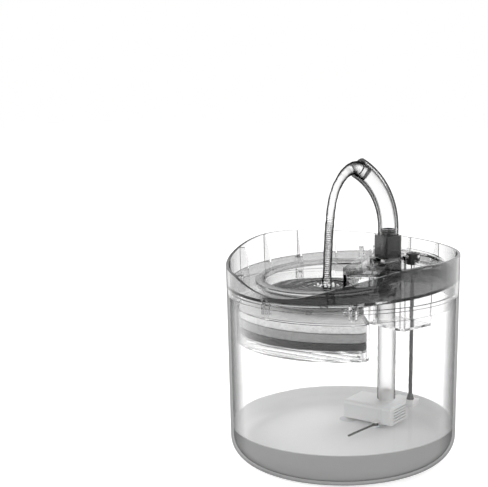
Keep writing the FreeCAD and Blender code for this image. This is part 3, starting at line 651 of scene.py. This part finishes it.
@dataclass(frozen=True)
class SolidFinish:
    """Opaque moulded, rubber, metal or ceramic finish with a fine grain.

    Attributes:
        name: The material's name.
        colour: Its main colour.
        shade: Colour in the low parts of the grain.
        rough: Lowest and highest roughness over the surface.
        metallic: 1 for bare metal.
        grain: Depth of the grain in metres.
        scale: Scale of the grain.
        coat: Weight of a clear coat.
        glow: Share of light that scatters under the surface.
    """

    name: str
    colour: Colour
    shade: Colour
    rough: tuple[float, float] = (0.35, 0.5)
    metallic: float = 0.0
    grain: float = 0.00003
    scale: float = 900.0
    coat: float = 0.0
    glow: float = 0.0

    def build(self) -> bpy.types.Material:
        """Make the material.

        Returns:
            The material.
        """
        material, graph, out = new_material(self.name)
        shader = graph.add("ShaderNodeBsdfPrincipled", {"Metallic": self.metallic, "Coat Weight": self.coat,
                                                        "Subsurface Weight": self.glow,
                                                        "Subsurface Scale": 4 * MM})
        grain = Noise.FINE.put(graph, {"Scale": self.scale, "Low": self.rough[0], "High": self.rough[1]})
        tone = graph.ramp((grain, "Height"), [(0.35, self.shade), (0.65, self.colour)])
        graph.link(tone, shader, "Base Color")
        graph.link((grain, "Value"), shader, "Roughness")
        graph.bump((grain, "Height"), shader, self.grain)
        graph.link((shader, "BSDF"), out, "Surface")
        return material


class Layout(Enum):
    """How a layered finish repeats."""

    STACKED = "X"
    WOUND = "Z"


@dataclass(frozen=True)
class BandedFinish:
    """Stacked sheets or wound wire, as bands across one axis.

    Attributes:
        name: The material's name.
        colour: Colour of a band's crown.
        gap: Colour between the bands.
        layout: Axis that the bands repeat along.
        pitch: Width of one band in metres.
        crown: Height of a band's crown as a share of the pitch.
    """

    name: str
    colour: Colour
    gap: Colour
    layout: Layout
    pitch: float
    crown: float = 1 / 3

    def build(self) -> bpy.types.Material:
        """Make the material.

        Returns:
            The material.
        """
        material, graph, out = new_material(self.name)
        shader = graph.add("ShaderNodeBsdfPrincipled", {"Metallic": 0.9, "Roughness": 0.35})
        bands = graph.add("ShaderNodeTexWave", {"Scale": BAND_SCALE / self.pitch, "Distortion": 0.1},
                          bands_direction=self.layout.value)
        graph.link(graph.place(), bands, "Vector")
        tone = graph.ramp((bands, "Fac"), [(0.1, self.gap), (0.6, self.colour)])
        graph.link(tone, shader, "Base Color")
        graph.bump((bands, "Fac"), shader, self.crown * self.pitch)
        graph.link((shader, "BSDF"), out, "Surface")
        return material


@dataclass(frozen=True)
class PadFinish:
    """Felt, granules or open foam: cells of one size over a cloudy ground.

    Attributes:
        name: The material's name.
        colour: Colour of the high parts.
        shade: Colour of the low parts.
        cells: Scale of the cells.
        depth: Depth of the cells in metres.
        sheen: Weight of the soft sheen.
    """

    name: str
    colour: Colour
    shade: Colour
    cells: float
    depth: float
    sheen: float = 0.15

    def build(self) -> bpy.types.Material:
        """Make the material.

        Returns:
            The material.
        """
        material, graph, out = new_material(self.name)
        shader = graph.add("ShaderNodeBsdfPrincipled", {"Roughness": 0.9, "Sheen Weight": self.sheen})
        cloud = Noise.FINE.put(graph, {"Scale": 0.4 * self.cells})
        cell = graph.add("ShaderNodeTexVoronoi", {"Scale": self.cells, "Randomness": 1.0})
        graph.link(graph.place(), cell, "Vector")
        height = graph.combine("MULTIPLY", (cell, "Distance"), (cloud, "Value"))
        graph.link(graph.ramp(height, [(0.05, self.shade), (0.45, self.colour)]), shader, "Base Color")
        graph.bump(height, shader, self.depth)
        graph.link((shader, "BSDF"), out, "Surface")
        return material


Finish = ClearFinish | GreyWaterFinish | SolidFinish | BandedFinish | PadFinish

# Tones of the clear walls, from square on to edge on; the darker tones edge on are painted shade.
PLAIN_TONES = ((0.0, 0.985), (0.5, 0.95), (0.75, 0.7), (0.95, 0.2))
LID_TONES = ((0.0, 0.84), (0.45, 0.78), (0.7, 0.4), (0.92, 0.08))
COVER_TONES = ((0.0, 0.95), (0.6, 0.88), (0.85, 0.6), (0.97, 0.25))
TUBE_TONES = ((0.0, 0.97), (0.3, 0.9), (0.5, 0.4), (0.75, 0.1))

# One finish for each material slot of the record. The clear finishes darken edge on and some carry dark
# outlines, both painted shade.
FINISHES: dict[str, Finish] = {
    # The tank's wall: painted shade below the water line, darker edge on and with a dark outline.
    "clear_tank": ClearFinish("clear_tank", ((0.0, 0.975), (0.48, 0.95), (0.6, 0.8), (0.7, 0.55),
                                             (0.8, 0.36), (0.95, 0.15)),
                              rim=(0.55, 0.82, 0.52), waterline_shade=(28 * MM, 0.74)),
    # The lid carries a band of painted shade on part of its wall.
    "clear_lid": ClearFinish("clear_lid", LID_TONES, rim=(0.8, 0.92, 0.45), painted_wall_shade=PaintedWallShade()),
    "smoke_dish": ClearFinish("smoke_dish", ((0.0, 0.8), (0.5, 0.68), (0.75, 0.36), (0.95, 0.05)),
                              lamps=0.9, rim=(0.82, 0.94, 0.4)),
    "clear_cover": ClearFinish("clear_cover", COVER_TONES, rim=(0.6, 0.75, 0.9)),
    "clear_well": ClearFinish("clear_well", PLAIN_TONES, rim=(0.8, 0.92, 0.6)),
    "clear_neck": ClearFinish("clear_neck", TUBE_TONES, rim=(0.25, 0.6, 0.25)),
    "clear_box": ClearFinish("clear_box", PLAIN_TONES, rim=(0.8, 0.92, 0.6)),
    "dark_connector": SolidFinish("dark_connector", grey(0.02), grey(0.015), rough=(0.12, 0.22),
                                  grain=0.00001, coat=0.4),
    "milky_tube": ClearFinish("milky_tube", ((0.0, 0.97), (0.5, 0.93), (0.7, 0.55), (0.95, 0.2)),
                              rough=(0.3, 0.42), lamps=0.93, rim=(0.35, 0.7, 0.5)),
    "pump_white": SolidFinish("pump_white", grey(0.8), grey(0.77), glow=0.1),
    "pump_light": SolidFinish("pump_light", grey(0.85), grey(0.82), glow=0.1),
    "rubber_seal": SolidFinish("rubber_seal", grey(0.03), grey(0.02), rough=(0.6, 0.75)),
    "rubber_feet": SolidFinish("rubber_feet", grey(0.66), grey(0.6), rough=(0.4, 0.55), glow=0.3),
    "lead_grey": SolidFinish("lead_grey", grey(0.07), grey(0.055), rough=(0.3, 0.45)),
    "inlet_black": SolidFinish("inlet_black", grey(0.03), grey(0.02), rough=(0.35, 0.5)),
    "pin_metal": SolidFinish("pin_metal", grey(0.8), grey(0.7), rough=(0.08, 0.18), metallic=1.0,
                             grain=0.000003),
    "laminations": BandedFinish("laminations", grey(0.4), grey(0.1), Layout.STACKED, 0.0005),
    "copper_coil": BandedFinish("copper_coil", (0.62, 0.27, 0.12, 1.0), (0.12, 0.04, 0.02, 1.0),
                                Layout.WOUND, 0.0004),
    "magnet_dark": SolidFinish("magnet_dark", grey(0.06), grey(0.04), rough=(0.5, 0.7), grain=0.00005),
    "impeller_white": SolidFinish("impeller_white", grey(0.75), grey(0.7)),
    "shaft_ceramic": SolidFinish("shaft_ceramic", (0.85, 0.84, 0.8, 1.0), (0.8, 0.79, 0.75, 1.0),
                                 rough=(0.1, 0.2), grain=0.000003, coat=0.3),
    "foam_black": PadFinish("foam_black", grey(0.09), grey(0.01), cells=700.0, depth=0.0006),
    "cotton_white": PadFinish("cotton_white", grey(0.75), grey(0.6), cells=420.0, depth=0.0003, sheen=0.4),
    "resin_grey": PadFinish("resin_grey", grey(0.32), grey(0.22), cells=900.0, depth=0.0004),
    "carbon_black": PadFinish("carbon_black", grey(0.02), grey(0.006), cells=800.0, depth=0.0004,
                              sheen=0.02),
}
# Finishes of edges, water and bubbles, which no slot has. The two edge finishes are painted shade for edges
# that show as dark lines; the film on the cut edge covers it whole.
CUT_EDGE_SHADE = ClearFinish("cut_edge_shade", ((0.0, 0.5), (1.0, 0.3)), rim=(-1.0, -0.5, 0.5))
DARK_EDGE_SHADE = ClearFinish("dark_edge_shade", ((0.0, 0.12), (0.6, 0.05), (1.0, 0.01)))
WATER_TOP = ClearFinish("water_top", ((0.0, 0.93), (0.7, 0.86), (0.85, 0.8), (1.0, 0.6)), ior=1.08,
                        wave=0.0001, wave_scale=45.0)
# Grey tank water, darker from outside than from within: painted shade and painted light.
WATER_SIDE = GreyWaterFinish("water_side", grey(0.62), grey(0.88), 0.95)
# Dark dish water: its darkness is painted shade.
DISH_WATER = ClearFinish("dish_water", ((0.0, 0.2), (0.5, 0.13), (0.8, 0.06), (1.0, 0.02)), ior=1.333,
                         lamps=0.6, wave=0.0002, wave_scale=70.0)
# The stream darkens strongly towards its sides and has a dark outline: painted shade.
STREAM_WATER = ClearFinish("stream_water", ((0.0, 0.95), (0.2, 0.8), (0.4, 0.2), (0.8, 0.02)), ior=1.333,
                           wave=0.0006, rings=0.0016, rim=(0.1, 0.45, 0.12))
# Bright white bubbles: partly bubbles, partly painted highlights of the splash.
FROTH_AND_HIGHLIGHT = SolidFinish("froth_and_highlight", grey(0.95), grey(0.85), rough=(0.05, 0.15), coat=1.0)


class Paints:
    """Materials, each made once."""

    def __init__(self) -> None:
        """Start with no material made."""
        self.made: dict[str, bpy.types.Material] = {}

    def get(self, finish: Finish) -> bpy.types.Material:
        """Material of a finish.

        Args:
            finish: The finish.

        Returns:
            Its material.
        """
        if finish.name not in self.made:
            self.made[finish.name] = finish.build()
        return self.made[finish.name]


PAINTS = Paints()
SLOT_OF = {part["node"]: part["material_slot"] for part in frame["record"]["subparts"]}
BODY_OF = {node: body for body, nodes in frame["record"]["behaviour"]["bodies"].items() for node in nodes}


# Sub-assemblies


class SubAssembly:
    """Part of the fountain that is dressed together."""

    def dress(self, node: str) -> None:
        """Give a CAD node the finish of its slot.

        Args:
            node: The CAD node.
        """
        set_material(frame["nodes"][node], PAINTS.get(FINISHES[SLOT_OF[node]]))
        LOG.info("dressed %s", node)

    def register(self, obj: bpy.types.Object, body: str, slot: str, replaced: tuple[str, ...] = ()) -> None:
        """Tell the frame where a finished piece belongs.

        Args:
            obj: The piece, already at its place.
            body: The body that it rides on.
            slot: The record's slot that it belongs to; not used.
            replaced: The CAD nodes that it stands for.
        """
        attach(obj, body)
        if replaced:
            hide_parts(*replaced)
        LOG.info("built %s on %s", obj.name, body)

    def stand_in(self, obj: bpy.types.Object, node: str) -> None:
        """Put a piece in a CAD node's place, with the finish of its slot.

        Args:
            obj: The piece.
            node: The CAD node.
        """
        slot = SLOT_OF[node]
        set_material(obj, PAINTS.get(FINISHES[slot]))
        self.register(obj, BODY_OF[node], slot, (node,))

    def smooth(self, node: str) -> bpy.types.Object:
        """Stand a merged, smooth-shaded copy in for a CAD node.

        Args:
            node: The CAD node.

        Returns:
            The copy.
        """
        obj = merged_copy(node, node + "_smooth")
        self.stand_in(obj, node)
        return obj

    def rounded(self, node: str, name: str, voxel: float, rounds: int) -> bpy.types.Object:
        """Copy of a plain soft solid with rounded edges.

        Args:
            node: The CAD node.
            name: Name for the copy.
            voxel: Grid on which it is rebuilt.
            rounds: Smoothing steps.

        Returns:
            The copy.
        """
        obj = merged_copy(node, name)
        modify(obj, "REMESH", mode="VOXEL", voxel_size=voxel)
        modify(obj, "SMOOTH", factor=0.5, iterations=rounds)
        return obj

    def stand_in_soft(self, obj: bpy.types.Object, node: str, fill: float) -> None:
        """Put a soft piece in a CAD node's place.

        Args:
            obj: The piece.
            node: The CAD node.
            fill: How firmly it is packed, from 0 to 1; not used.
        """
        shade_soft(obj)
        self.stand_in(obj, node)


@dataclass
class TankAssembly(SubAssembly):
    """Tank and the water left in it.

    Attributes:
        water_radius: Radius of the water, just inside the tank's wall.
        water_bottom: Height of the water's underside.
        water_top: Height of its surface.
        corner: Radius of its bottom edge.
        corner_steps: Faces across that edge.
        sides: Faces round the water.
        edge: Height just under the tank's top edge.
    """

    water_radius: float = 87.4 * MM
    water_bottom: float = 3.2 * MM
    water_top: float = 28.0 * MM
    corner: float = 14.3 * MM
    corner_steps: int = 10
    sides: int = 192
    edge: float = 131.0 * MM

    def build(self) -> None:
        """Dress the tank and fill it."""
        tank = self.smooth("tank")
        # The tank's top edge is painted dark: painted shade of a dark line.
        paint_faces(tank, PAINTS.get(DARK_EDGE_SHADE), lambda at, normal: normal.z > LEVEL and at.z > self.edge)
        self.water()

    def water(self) -> None:
        """Body of water with the tank's rounded bottom edge."""
        deselect_all()
        height = self.water_top - self.water_bottom
        middle = self.water_bottom + height / 2
        bpy.ops.mesh.primitive_cylinder_add(vertices=self.sides, radius=self.water_radius, depth=height,
                                            location=(0, 0, middle))
        obj = bpy.context.object
        obj.name = "tank_water"
        finish_place(obj)
        with editing(obj):
            bpy.ops.mesh.select_all(action="DESELECT")
            bpy.ops.mesh.select_mode(type="EDGE")
            bpy.ops.object.mode_set(mode="OBJECT")
            for edge in obj.data.edges:
                edge.select = all(obj.data.vertices[index].co.z < middle for index in edge.vertices)
            bpy.ops.object.mode_set(mode="EDIT")
            bpy.ops.mesh.bevel(offset=self.corner, segments=self.corner_steps, profile=0.5, affect="EDGES")
        shade_curved(obj)
        set_material(obj, PAINTS.get(WATER_SIDE))
        paint_faces(obj, PAINTS.get(WATER_TOP), lambda at, normal: normal.z > LEVEL)
        self.register(obj, "tank", "clear_tank")


@dataclass
class LidAssembly(SubAssembly):
    """Lid, dish, service cover and well.

    Attributes:
        wall_inner: Radius just inside the lid's wall.
        rim_bottom: Height that all of the wavy rim is above.
        rim_slope: Least upward part of the rim's normal.
        spigot_inner: Radius just inside the spigot.
        foot_top: Height just above the seam between lid and tank.
        opening_side: Direction that the straight front edge of the service opening faces.
        opening_match: How nearly a face of that edge has to face so.
        cut_level: Height above which that edge is narrow.
        cut_end: Its narrow left end, along X.
    """

    wall_inner: float = 87.0 * MM
    rim_bottom: float = 137.0 * MM
    rim_slope: float = 0.5
    spigot_inner: float = 85.2 * MM
    foot_top: float = 133.0 * MM
    opening_side: Point = (0.37, -0.93, -0.06)
    opening_match: float = 0.98
    cut_level: float = 146.6 * MM
    cut_end: float = 2.5 * MM

    def build(self) -> None:
        """Dress the lid's pieces."""
        # Dark lines of painted shade on the lid's rim, wall foot and spigot edge.
        paint_faces(self.smooth("lid"), PAINTS.get(DARK_EDGE_SHADE), self.is_dark_edge)
        # Grey painted shade on the narrow edges that dish and cover share.
        for node in ("dish", "service_cover"):
            paint_faces(self.smooth(node), PAINTS.get(CUT_EDGE_SHADE), self.is_cut_edge)
        self.smooth("lead_well")

    def is_dark_edge(self, at: Vector, normal: Vector) -> bool:
        """Tell the faces painted with shade as dark lines: the wavy rim, the wall's foot, the spigot's lower
        edge.

        Args:
            at: The face's centre.
            normal: Its normal.

        Returns:
            True for a dark face.
        """
        radius = math.hypot(at.x, at.y)
        on_rim = radius > self.wall_inner and normal.z > self.rim_slope and at.z > self.rim_bottom
        on_foot = radius > self.spigot_inner and normal.z < -LEVEL and at.z < self.foot_top
        return on_rim or on_foot

    def is_cut_edge(self, at: Vector, normal: Vector) -> bool:
        """Tell the narrow straight edges that dish and cover share across the deck.

        Args:
            at: The face's centre.
            normal: Its normal.

        Returns:
            True for a face of such an edge.
        """
        narrow = at.z > self.cut_level or at.x < self.cut_end
        return narrow and normal.dot(Vector(self.opening_side)) > self.opening_match


@dataclass
class DishWaterAssembly(SubAssembly):
    """Water in the drinking dish, with ripples and bubbles where the stream meets it; the bright white
    bubbles are partly painted highlights of the splash.

    Attributes:
        centre: Middle of the dish on the deck's top plane.
        deck_height: Height of that plane at the origin.
        slope: The deck's tilt in degrees.
        radius: Radius of the block that the water is cut from, inside the dish's wall.
        depth: Depth of that block below the deck's plane.
        sides: Faces round the block.
        top: Height of the water's surface.
        front: How far in front of the dish's middle the water surely reaches.
        voxel: Grid on which the water is rebuilt.
        shrink: Scale that leaves a gap to the dish.
        skin: Depth of the layer that the ripples move.
        splash: Where the stream meets the surface.
        ring_height: Height of the ripples.
        ring_width: Half the distance from one ripple to the next.
        ring_reach: Distance at which the ripples die out.
        ring_sharpness: How peaked they are.
        bubbles: How many bubbles float round the stream's foot.
        bubble_turn: Turn in radians from one bubble to the next.
        bubble_reach: Distance of the first bubble from the stream, and the step to the next.
        bubble_size: Radius of the first bubble, and how much smaller each next one is.
        bubble_rise: Height of a bubble's middle over the surface, as a share of its radius.
        bubble_flatness: Its height as a share of its width.
    """

    centre: tuple[float, float] = (-5.0 * MM, -11.0 * MM)
    deck_height: float = 144.0 * MM
    slope: float = 3.77
    radius: float = 51.3 * MM
    depth: float = 14.4 * MM
    sides: int = 160
    top: float = 134.6 * MM
    front: float = 20.0 * MM
    voxel: float = 1.1 * MM
    shrink: Point = (0.994, 0.994, 0.99)
    skin: float = 1.5 * MM
    splash: tuple[float, float] = (-13.6 * MM, -2.3 * MM)
    ring_height: float = 1.0 * MM
    ring_width: float = 4.4 * MM
    ring_reach: float = 52.0 * MM
    ring_sharpness: float = 1.6
    bubbles: int = 26
    bubble_turn: float = 2.4
    bubble_reach: tuple[float, float] = (2.0 * MM, 0.4 * MM)
    bubble_size: tuple[float, float] = (1.6 * MM, 0.04 * MM)
    bubble_rise: float = 0.2
    bubble_flatness: float = 0.7

    def build(self) -> None:
        """Fill the dish and float the bubbles."""
        obj = self.block()
        dish = merged_copy("dish", "dish_cutter")
        modify(obj, "BOOLEAN", operation="DIFFERENCE", object=dish, solver="EXACT")
        bpy.data.objects.remove(dish)
        self.keep_inside(obj)
        modify(obj, "REMESH", mode="VOXEL", voxel_size=self.voxel)
        modify(obj, "SMOOTH", factor=0.5, iterations=3)
        with editing(obj):
            bpy.ops.transform.resize(value=self.shrink,
                                     center_override=(*self.centre, self.top - self.depth / 2))
        self.rings(obj)
        shade_soft(obj)
        # Dark water: its darkness is painted shade.
        set_material(obj, PAINTS.get(DISH_WATER))
        self.register(obj, "lid", "smoke_dish")
        for index in range(self.bubbles):
            self.bubble(index)

    def block(self) -> bpy.types.Object:
        """Block with the deck's tilt, level on top.

        Returns:
            The block, which still runs through the dish's wall.
        """
        deselect_all()
        bpy.ops.mesh.primitive_cylinder_add(vertices=self.sides, radius=self.radius, depth=self.depth,
                                            location=(*self.centre, -self.depth / 2))
        obj = bpy.context.object
        obj.name = "dish_water"
        finish_place(obj)
        with editing(obj):
            bpy.ops.transform.rotate(value=-math.radians(self.slope), orient_axis="X",
                                     center_override=(0, 0, 0))
            bpy.ops.transform.translate(value=(0, 0, self.deck_height))
        with editing(obj):
            bpy.ops.mesh.bisect(plane_co=(0, 0, self.top), plane_no=(0, 0, 1), clear_outer=True,
                                use_fill=True)
        return obj

    def keep_inside(self, obj: bpy.types.Object) -> None:
        """Drop all but the loose piece that lies inside the dish.

        Args:
            obj: The block, cut by the dish.
        """
        x, y = self.centre
        inside = Vector((x, y - self.front, self.top))
        nearest = min(obj.data.vertices, key=lambda vertex: (vertex.co - inside).length).index
        with editing(obj):
            bpy.ops.mesh.select_all(action="DESELECT")
            bpy.ops.mesh.select_mode(type="VERT")
            bpy.ops.object.mode_set(mode="OBJECT")
            obj.data.vertices[nearest].select = True
            bpy.ops.object.mode_set(mode="EDIT")
            bpy.ops.mesh.select_linked()
            bpy.ops.mesh.select_all(action="INVERT")
            bpy.ops.mesh.delete(type="VERT")

    def rings(self, obj: bpy.types.Object) -> None:
        """Ripple the surface in rings round the stream.

        Args:
            obj: The water.
        """
        group = obj.vertex_groups.new(name="surface")
        low = self.top - self.skin
        group.add([vertex.index for vertex in obj.data.vertices if vertex.co.z > low], 1.0, "REPLACE")
        x, y = self.splash
        modify(obj, "WAVE", vertex_group="surface", use_x=True, use_y=True, use_cyclic=True,
               start_position_x=x, start_position_y=y, height=self.ring_height, width=self.ring_width,
               narrowness=self.ring_sharpness / self.ring_width, falloff_radius=self.ring_reach,
               time_offset=-400.0, speed=0.25 * MM, lifetime=0.0)

    def bubble(self, index: int) -> None:
        """Small flattened bubble on the surface.

        Args:
            index: Its number, counted outwards from the stream.
        """
        turn = self.bubble_turn * index
        reach = self.bubble_reach[0] + self.bubble_reach[1] * index
        size = self.bubble_size[0] - self.bubble_size[1] * index
        x, y = self.splash
        deselect_all()
        bpy.ops.mesh.primitive_uv_sphere_add(
            segments=16, ring_count=8, radius=size,
            location=(x + reach * math.cos(turn), y + reach * math.sin(turn),
                      self.top + self.bubble_rise * size))
        obj = bpy.context.object
        obj.name = f"bubble_{index}"
        finish_place(obj)
        with editing(obj):
            bpy.ops.transform.resize(value=(1.0, 1.0, self.bubble_flatness), center_override=(0, 0, self.top))
        shade_soft(obj)
        # White bubble, partly a painted highlight of the splash.
        set_material(obj, PAINTS.get(FROTH_AND_HIGHLIGHT))
        self.register(obj, "lid", "clear_lid")


@dataclass
class FaucetAssembly(SubAssembly):
    """Socket, connector, neck and the stream that falls from the neck.

    Attributes:
        axis: The riser's axis in plan.
        heading: Direction that the faucet points in plan.
        path: Stations of the stream: distance out along the heading, height and radius, in millimetres.
        steps: Steps of the stream's mesh along and round each stretch.
        lump: Size and height of the lumps in the stream.
    """

    axis: tuple[float, float] = (10.8 * MM, 49.9 * MM)
    heading: tuple[float, float] = (-0.4242, -0.9056)
    path: tuple[tuple[float, float, float], ...] = (
        (22.0, 219.4, 5.9), (26.0, 222.2, 5.8), (30.5, 224.4, 5.3), (35.5, 223.6, 4.6), (40.5, 220.6, 4.0),
        (45.5, 215.6, 3.5), (50.0, 207.6, 3.3), (53.2, 197.0, 3.4), (55.2, 180.0, 3.3), (56.6, 160.0, 3.5),
        (57.4, 142.0, 3.1), (57.7, 133.2, 4.2),
    )
    steps: int = 12
    lump: tuple[float, float] = (4.5 * MM, 0.9 * MM)

    def build(self) -> None:
        """Dress the faucet's pieces and run the water."""
        for node in ("faucet_socket", "faucet_neck", "faucet_connector"):
            self.smooth(node)
        self.dress("connector_seal")
        self.stream()

    def stream(self) -> None:
        """Falling stream, round in section, thinning and rippling on its way down."""
        deselect_all()
        bpy.ops.curve.primitive_nurbs_path_add()
        obj = bpy.context.object
        obj.name = "water_stream"
        spline = obj.data.splines[0]
        spline.points.add(len(self.path) - len(spline.points))
        for point, (out, height, radius) in zip(spline.points, self.path):
            across = (self.axis[0] + out * MM * self.heading[0], self.axis[1] + out * MM * self.heading[1])
            point.co = (*across, height * MM, 1.0)
            point.radius = radius
        spline.order_u = 3
        spline.use_endpoint_u = True
        spline.resolution_u = self.steps
        obj.data.bevel_depth = MM
        obj.data.bevel_resolution = self.steps
        obj.data.use_fill_caps = True
        activate(obj)
        bpy.ops.object.convert(target="MESH")
        obj = bpy.context.object
        finish_place(obj)
        size, depth = self.lump
        ripple_surface(obj, "stream_ripple", size, depth, 0.5)
        modify(obj, "SMOOTH", factor=0.4, iterations=2)
        shade_soft(obj)
        set_material(obj, PAINTS.get(STREAM_WATER))
        self.register(obj, "faucet", "clear_neck")


@dataclass(frozen=True)
class FilterLayer:
    """One soft layer of the filter.

    Attributes:
        node: The CAD node of its plain solid.
        name: The finished piece's name.
        fill: How firmly it is packed, from 0 to 1.
        tuft_size: Size of the tufts on its surface.
    """

    node: str
    name: str
    fill: float
    tuft_size: float


@dataclass
class FilterAssembly(SubAssembly):
    """Filter box, raised grille and the three filter layers.

    Attributes:
        layers: The layers.
        voxel: Grid on which the pads are rebuilt.
        rounds: Smoothing steps that round a pad's edges.
        tuft: Height of the unevenness of a pad's surface.
        tuft_middle: Value of the noise that leaves the surface where it is, so that most of it sinks.
    """

    layers: tuple[FilterLayer, ...] = (
        FilterLayer("filter_cotton", "cotton_pad", 0.5, 6.0 * MM),
        FilterLayer("filter_resin", "resin_pad", 0.7, 3.0 * MM),
        FilterLayer("filter_carbon", "carbon_pad", 0.8, 4.0 * MM),
    )
    voxel: float = 1.0 * MM
    rounds: int = 5
    tuft: float = 0.5 * MM
    tuft_middle: float = 0.62

    def build(self) -> None:
        """Dress the box and lay the pads in it."""
        for node in ("filter_box", "filter_grille"):
            self.smooth(node)
        for layer in self.layers:
            obj = self.rounded(layer.node, layer.name, self.voxel, self.rounds)
            ripple_surface(obj, layer.name + "_tufts", layer.tuft_size, self.tuft, self.tuft_middle)
            self.stand_in_soft(obj, layer.node, layer.fill)


@dataclass
class PumpAssembly(SubAssembly):
    """Riser, pump with its motor and rotor, feet, flow lever, intake foam and power lead.

    Attributes:
        foam_voxel: Grid on which the foam is rebuilt.
        foam_rounds: Smoothing steps that round its edges.
        foam_fill: How firmly it is packed, from 0 to 1.
    """

    foam_voxel: float = 0.5 * MM
    foam_rounds: int = 2
    foam_fill: float = 0.8

    def build(self) -> None:
        """Dress the pump's pieces and fit the foam."""
        for node in ("riser_tube", "pump_casing", "pump_rear_cap", "strainer_cover", "suction_feet",
                     "power_lead", "power_inlet", "lead_gland"):
            self.smooth(node)
        # The clear lever is painted dark all over: painted shade, as it shows as a dark stroke.
        paint_faces(self.smooth("flow_lever"), PAINTS.get(DARK_EDGE_SHADE), lambda at, normal: True)
        for node in ("stator_core", "stator_coil", "rotor_magnet", "impeller", "impeller_shaft",
                     "rear_bush", "volute_plate", "lever_bracket", "inlet_pin"):
            self.dress(node)
        foam = self.rounded("intake_foam", "strainer_foam", self.foam_voxel, self.foam_rounds)
        self.stand_in_soft(foam, "intake_foam", self.foam_fill)


# Studio


@dataclass(frozen=True)
class Lamp:
    """Square soft lamp.

    Attributes:
        name: Its name.
        place: Where it stands.
        side: Its side in metres.
        power: Its power in watts.
    """

    name: str
    place: Point
    side: float
    power: float

    def put(self, target: Point) -> None:
        """Set the lamp up.

        Args:
            target: Where it points.
        """
        data = bpy.data.lights.new(self.name, "AREA")
        data.size = self.side
        data.energy = self.power
        obj = bpy.data.objects.new(self.name, data)
        bpy.context.scene.collection.objects.link(obj)
        obj.location = self.place
        aim = Vector(target) - Vector(self.place)
        obj.rotation_euler = aim.to_track_quat("-Z", "Y").to_euler()


@dataclass
class Studio:
    """Pale floor, soft light and the camera.

    Attributes:
        floor_size: Side of the floor.
        floor_level: Its height, a hair below the object.
        floor_glow: How much the floor shines of itself for rays that the camera sees.
        soft_light: Strength of the surroundings as a light.
        lamps: The lamps.
        lamp_target: Where the lamps point.
        bounces: How often light may bounce or pass a clear wall.
        camera_at: Place of the camera.
        heading: Its turn about the vertical in degrees.
        pitch: How far it looks down, in degrees.
        lens: Focal length in millimetres.
        sensor: Width of the sensor in millimetres.
        shift: Shift of the frame.
    """

    floor_size: float = 12.0
    floor_level: float = -0.3 * MM
    floor_glow: float = 0.5
    soft_light: float = 0.6
    lamps: tuple[Lamp, ...] = (
        Lamp("key", (-0.9, -0.75, 1.15), 0.9, 11.0),
        Lamp("fill", (1.2, -0.5, 0.6), 1.0, 5.0),
        Lamp("back", (0.1, 1.2, 0.9), 1.0, 6.0),
    )
    lamp_target: Point = (0.0, 0.0, 0.1)
    bounces: int = 32
    camera_at: Point = (0.4172, -0.6424, 0.284)
    heading: float = 33.0
    pitch: float = 15.0
    lens: float = 73.9
    sensor: float = 36.0
    shift: tuple[float, float] = (-0.203, 0.2305)

    def build(self) -> None:
        """Set up floor, world, lamps, camera and view."""
        self.floor()
        self.world()
        for lamp in self.lamps:
            lamp.put(self.lamp_target)
        self.camera()
        scene = bpy.context.scene
        scene.view_settings.view_transform = "Standard"
        scene.cycles.max_bounces = self.bounces
        scene.cycles.transmission_bounces = self.bounces
        scene.cycles.transparent_max_bounces = self.bounces
        scene.cycles.caustics_refractive = False
        scene.cycles.caustics_reflective = False

    def floor(self) -> None:
        """White floor that keeps the object's shadow and shows white to the camera."""
        deselect_all()
        bpy.ops.mesh.primitive_plane_add(size=self.floor_size, location=(0, 0, self.floor_level))
        obj = bpy.context.object
        obj.name = "floor"
        finish_place(obj)
        material, graph, out = new_material("floor_white")
        shader = graph.add("ShaderNodeBsdfPrincipled", {"Base Color": grey(0.9), "Roughness": 0.85,
                                                        "Emission Color": grey(1.0)})
        glow = graph.mask(self.seen_rays(graph), 0.0, 1.0, (0.0, self.floor_glow))
        graph.link(glow, shader, "Emission Strength")
        graph.link((shader, "BSDF"), out, "Surface")
        set_material(obj, material)

    def seen_rays(self, graph: Graph) -> Output:
        """Tell the rays that reach the camera straight, by a mirror or through glass.

        Args:
            graph: The graph to work in.

        Returns:
            1 for such rays, 0 for others.
        """
        path = graph.add("ShaderNodeLightPath")
        mirrored = graph.combine("MAXIMUM", (path, "Is Camera Ray"), (path, "Is Glossy Ray"))
        return graph.combine("MAXIMUM", mirrored, (path, "Is Transmission Ray"))

    def world(self) -> None:
        """White surroundings that light the object softly."""
        world = bpy.data.worlds.new("studio")
        bpy.context.scene.world = world
        world.use_nodes = True
        world.node_tree.nodes.clear()
        graph = Graph(world.node_tree)
        out = graph.add("ShaderNodeOutputWorld")
        soft = graph.add("ShaderNodeBackground", {"Color": grey(1.0), "Strength": self.soft_light})
        white = graph.add("ShaderNodeBackground", {"Color": grey(1.0), "Strength": 1.0})
        both = graph.blend(self.seen_rays(graph), (soft, "Background"), (white, "Background"))
        graph.link(both, out, "Surface")

    def camera(self) -> None:
        """Camera at the photograph's viewpoint."""
        data = bpy.data.cameras.new("camera")
        data.lens = self.lens
        data.sensor_width = self.sensor
        data.shift_x, data.shift_y = self.shift
        obj = bpy.data.objects.new("camera", data)
        bpy.context.scene.collection.objects.link(obj)
        obj.location = self.camera_at
        obj.rotation_euler = (math.radians(90.0 - self.pitch), 0.0, math.radians(self.heading))
        bpy.context.scene.camera = obj


def main() -> None:
    """Build every sub-assembly and the studio."""
    logging.basicConfig(level=logging.INFO, format="%(message)s")
    Studio().build()
    for assembly in (TankAssembly(), LidAssembly(), DishWaterAssembly(), FaucetAssembly(), FilterAssembly(),
                     PumpAssembly()):
        assembly.build()


if __name__ == "__main__":
    main()
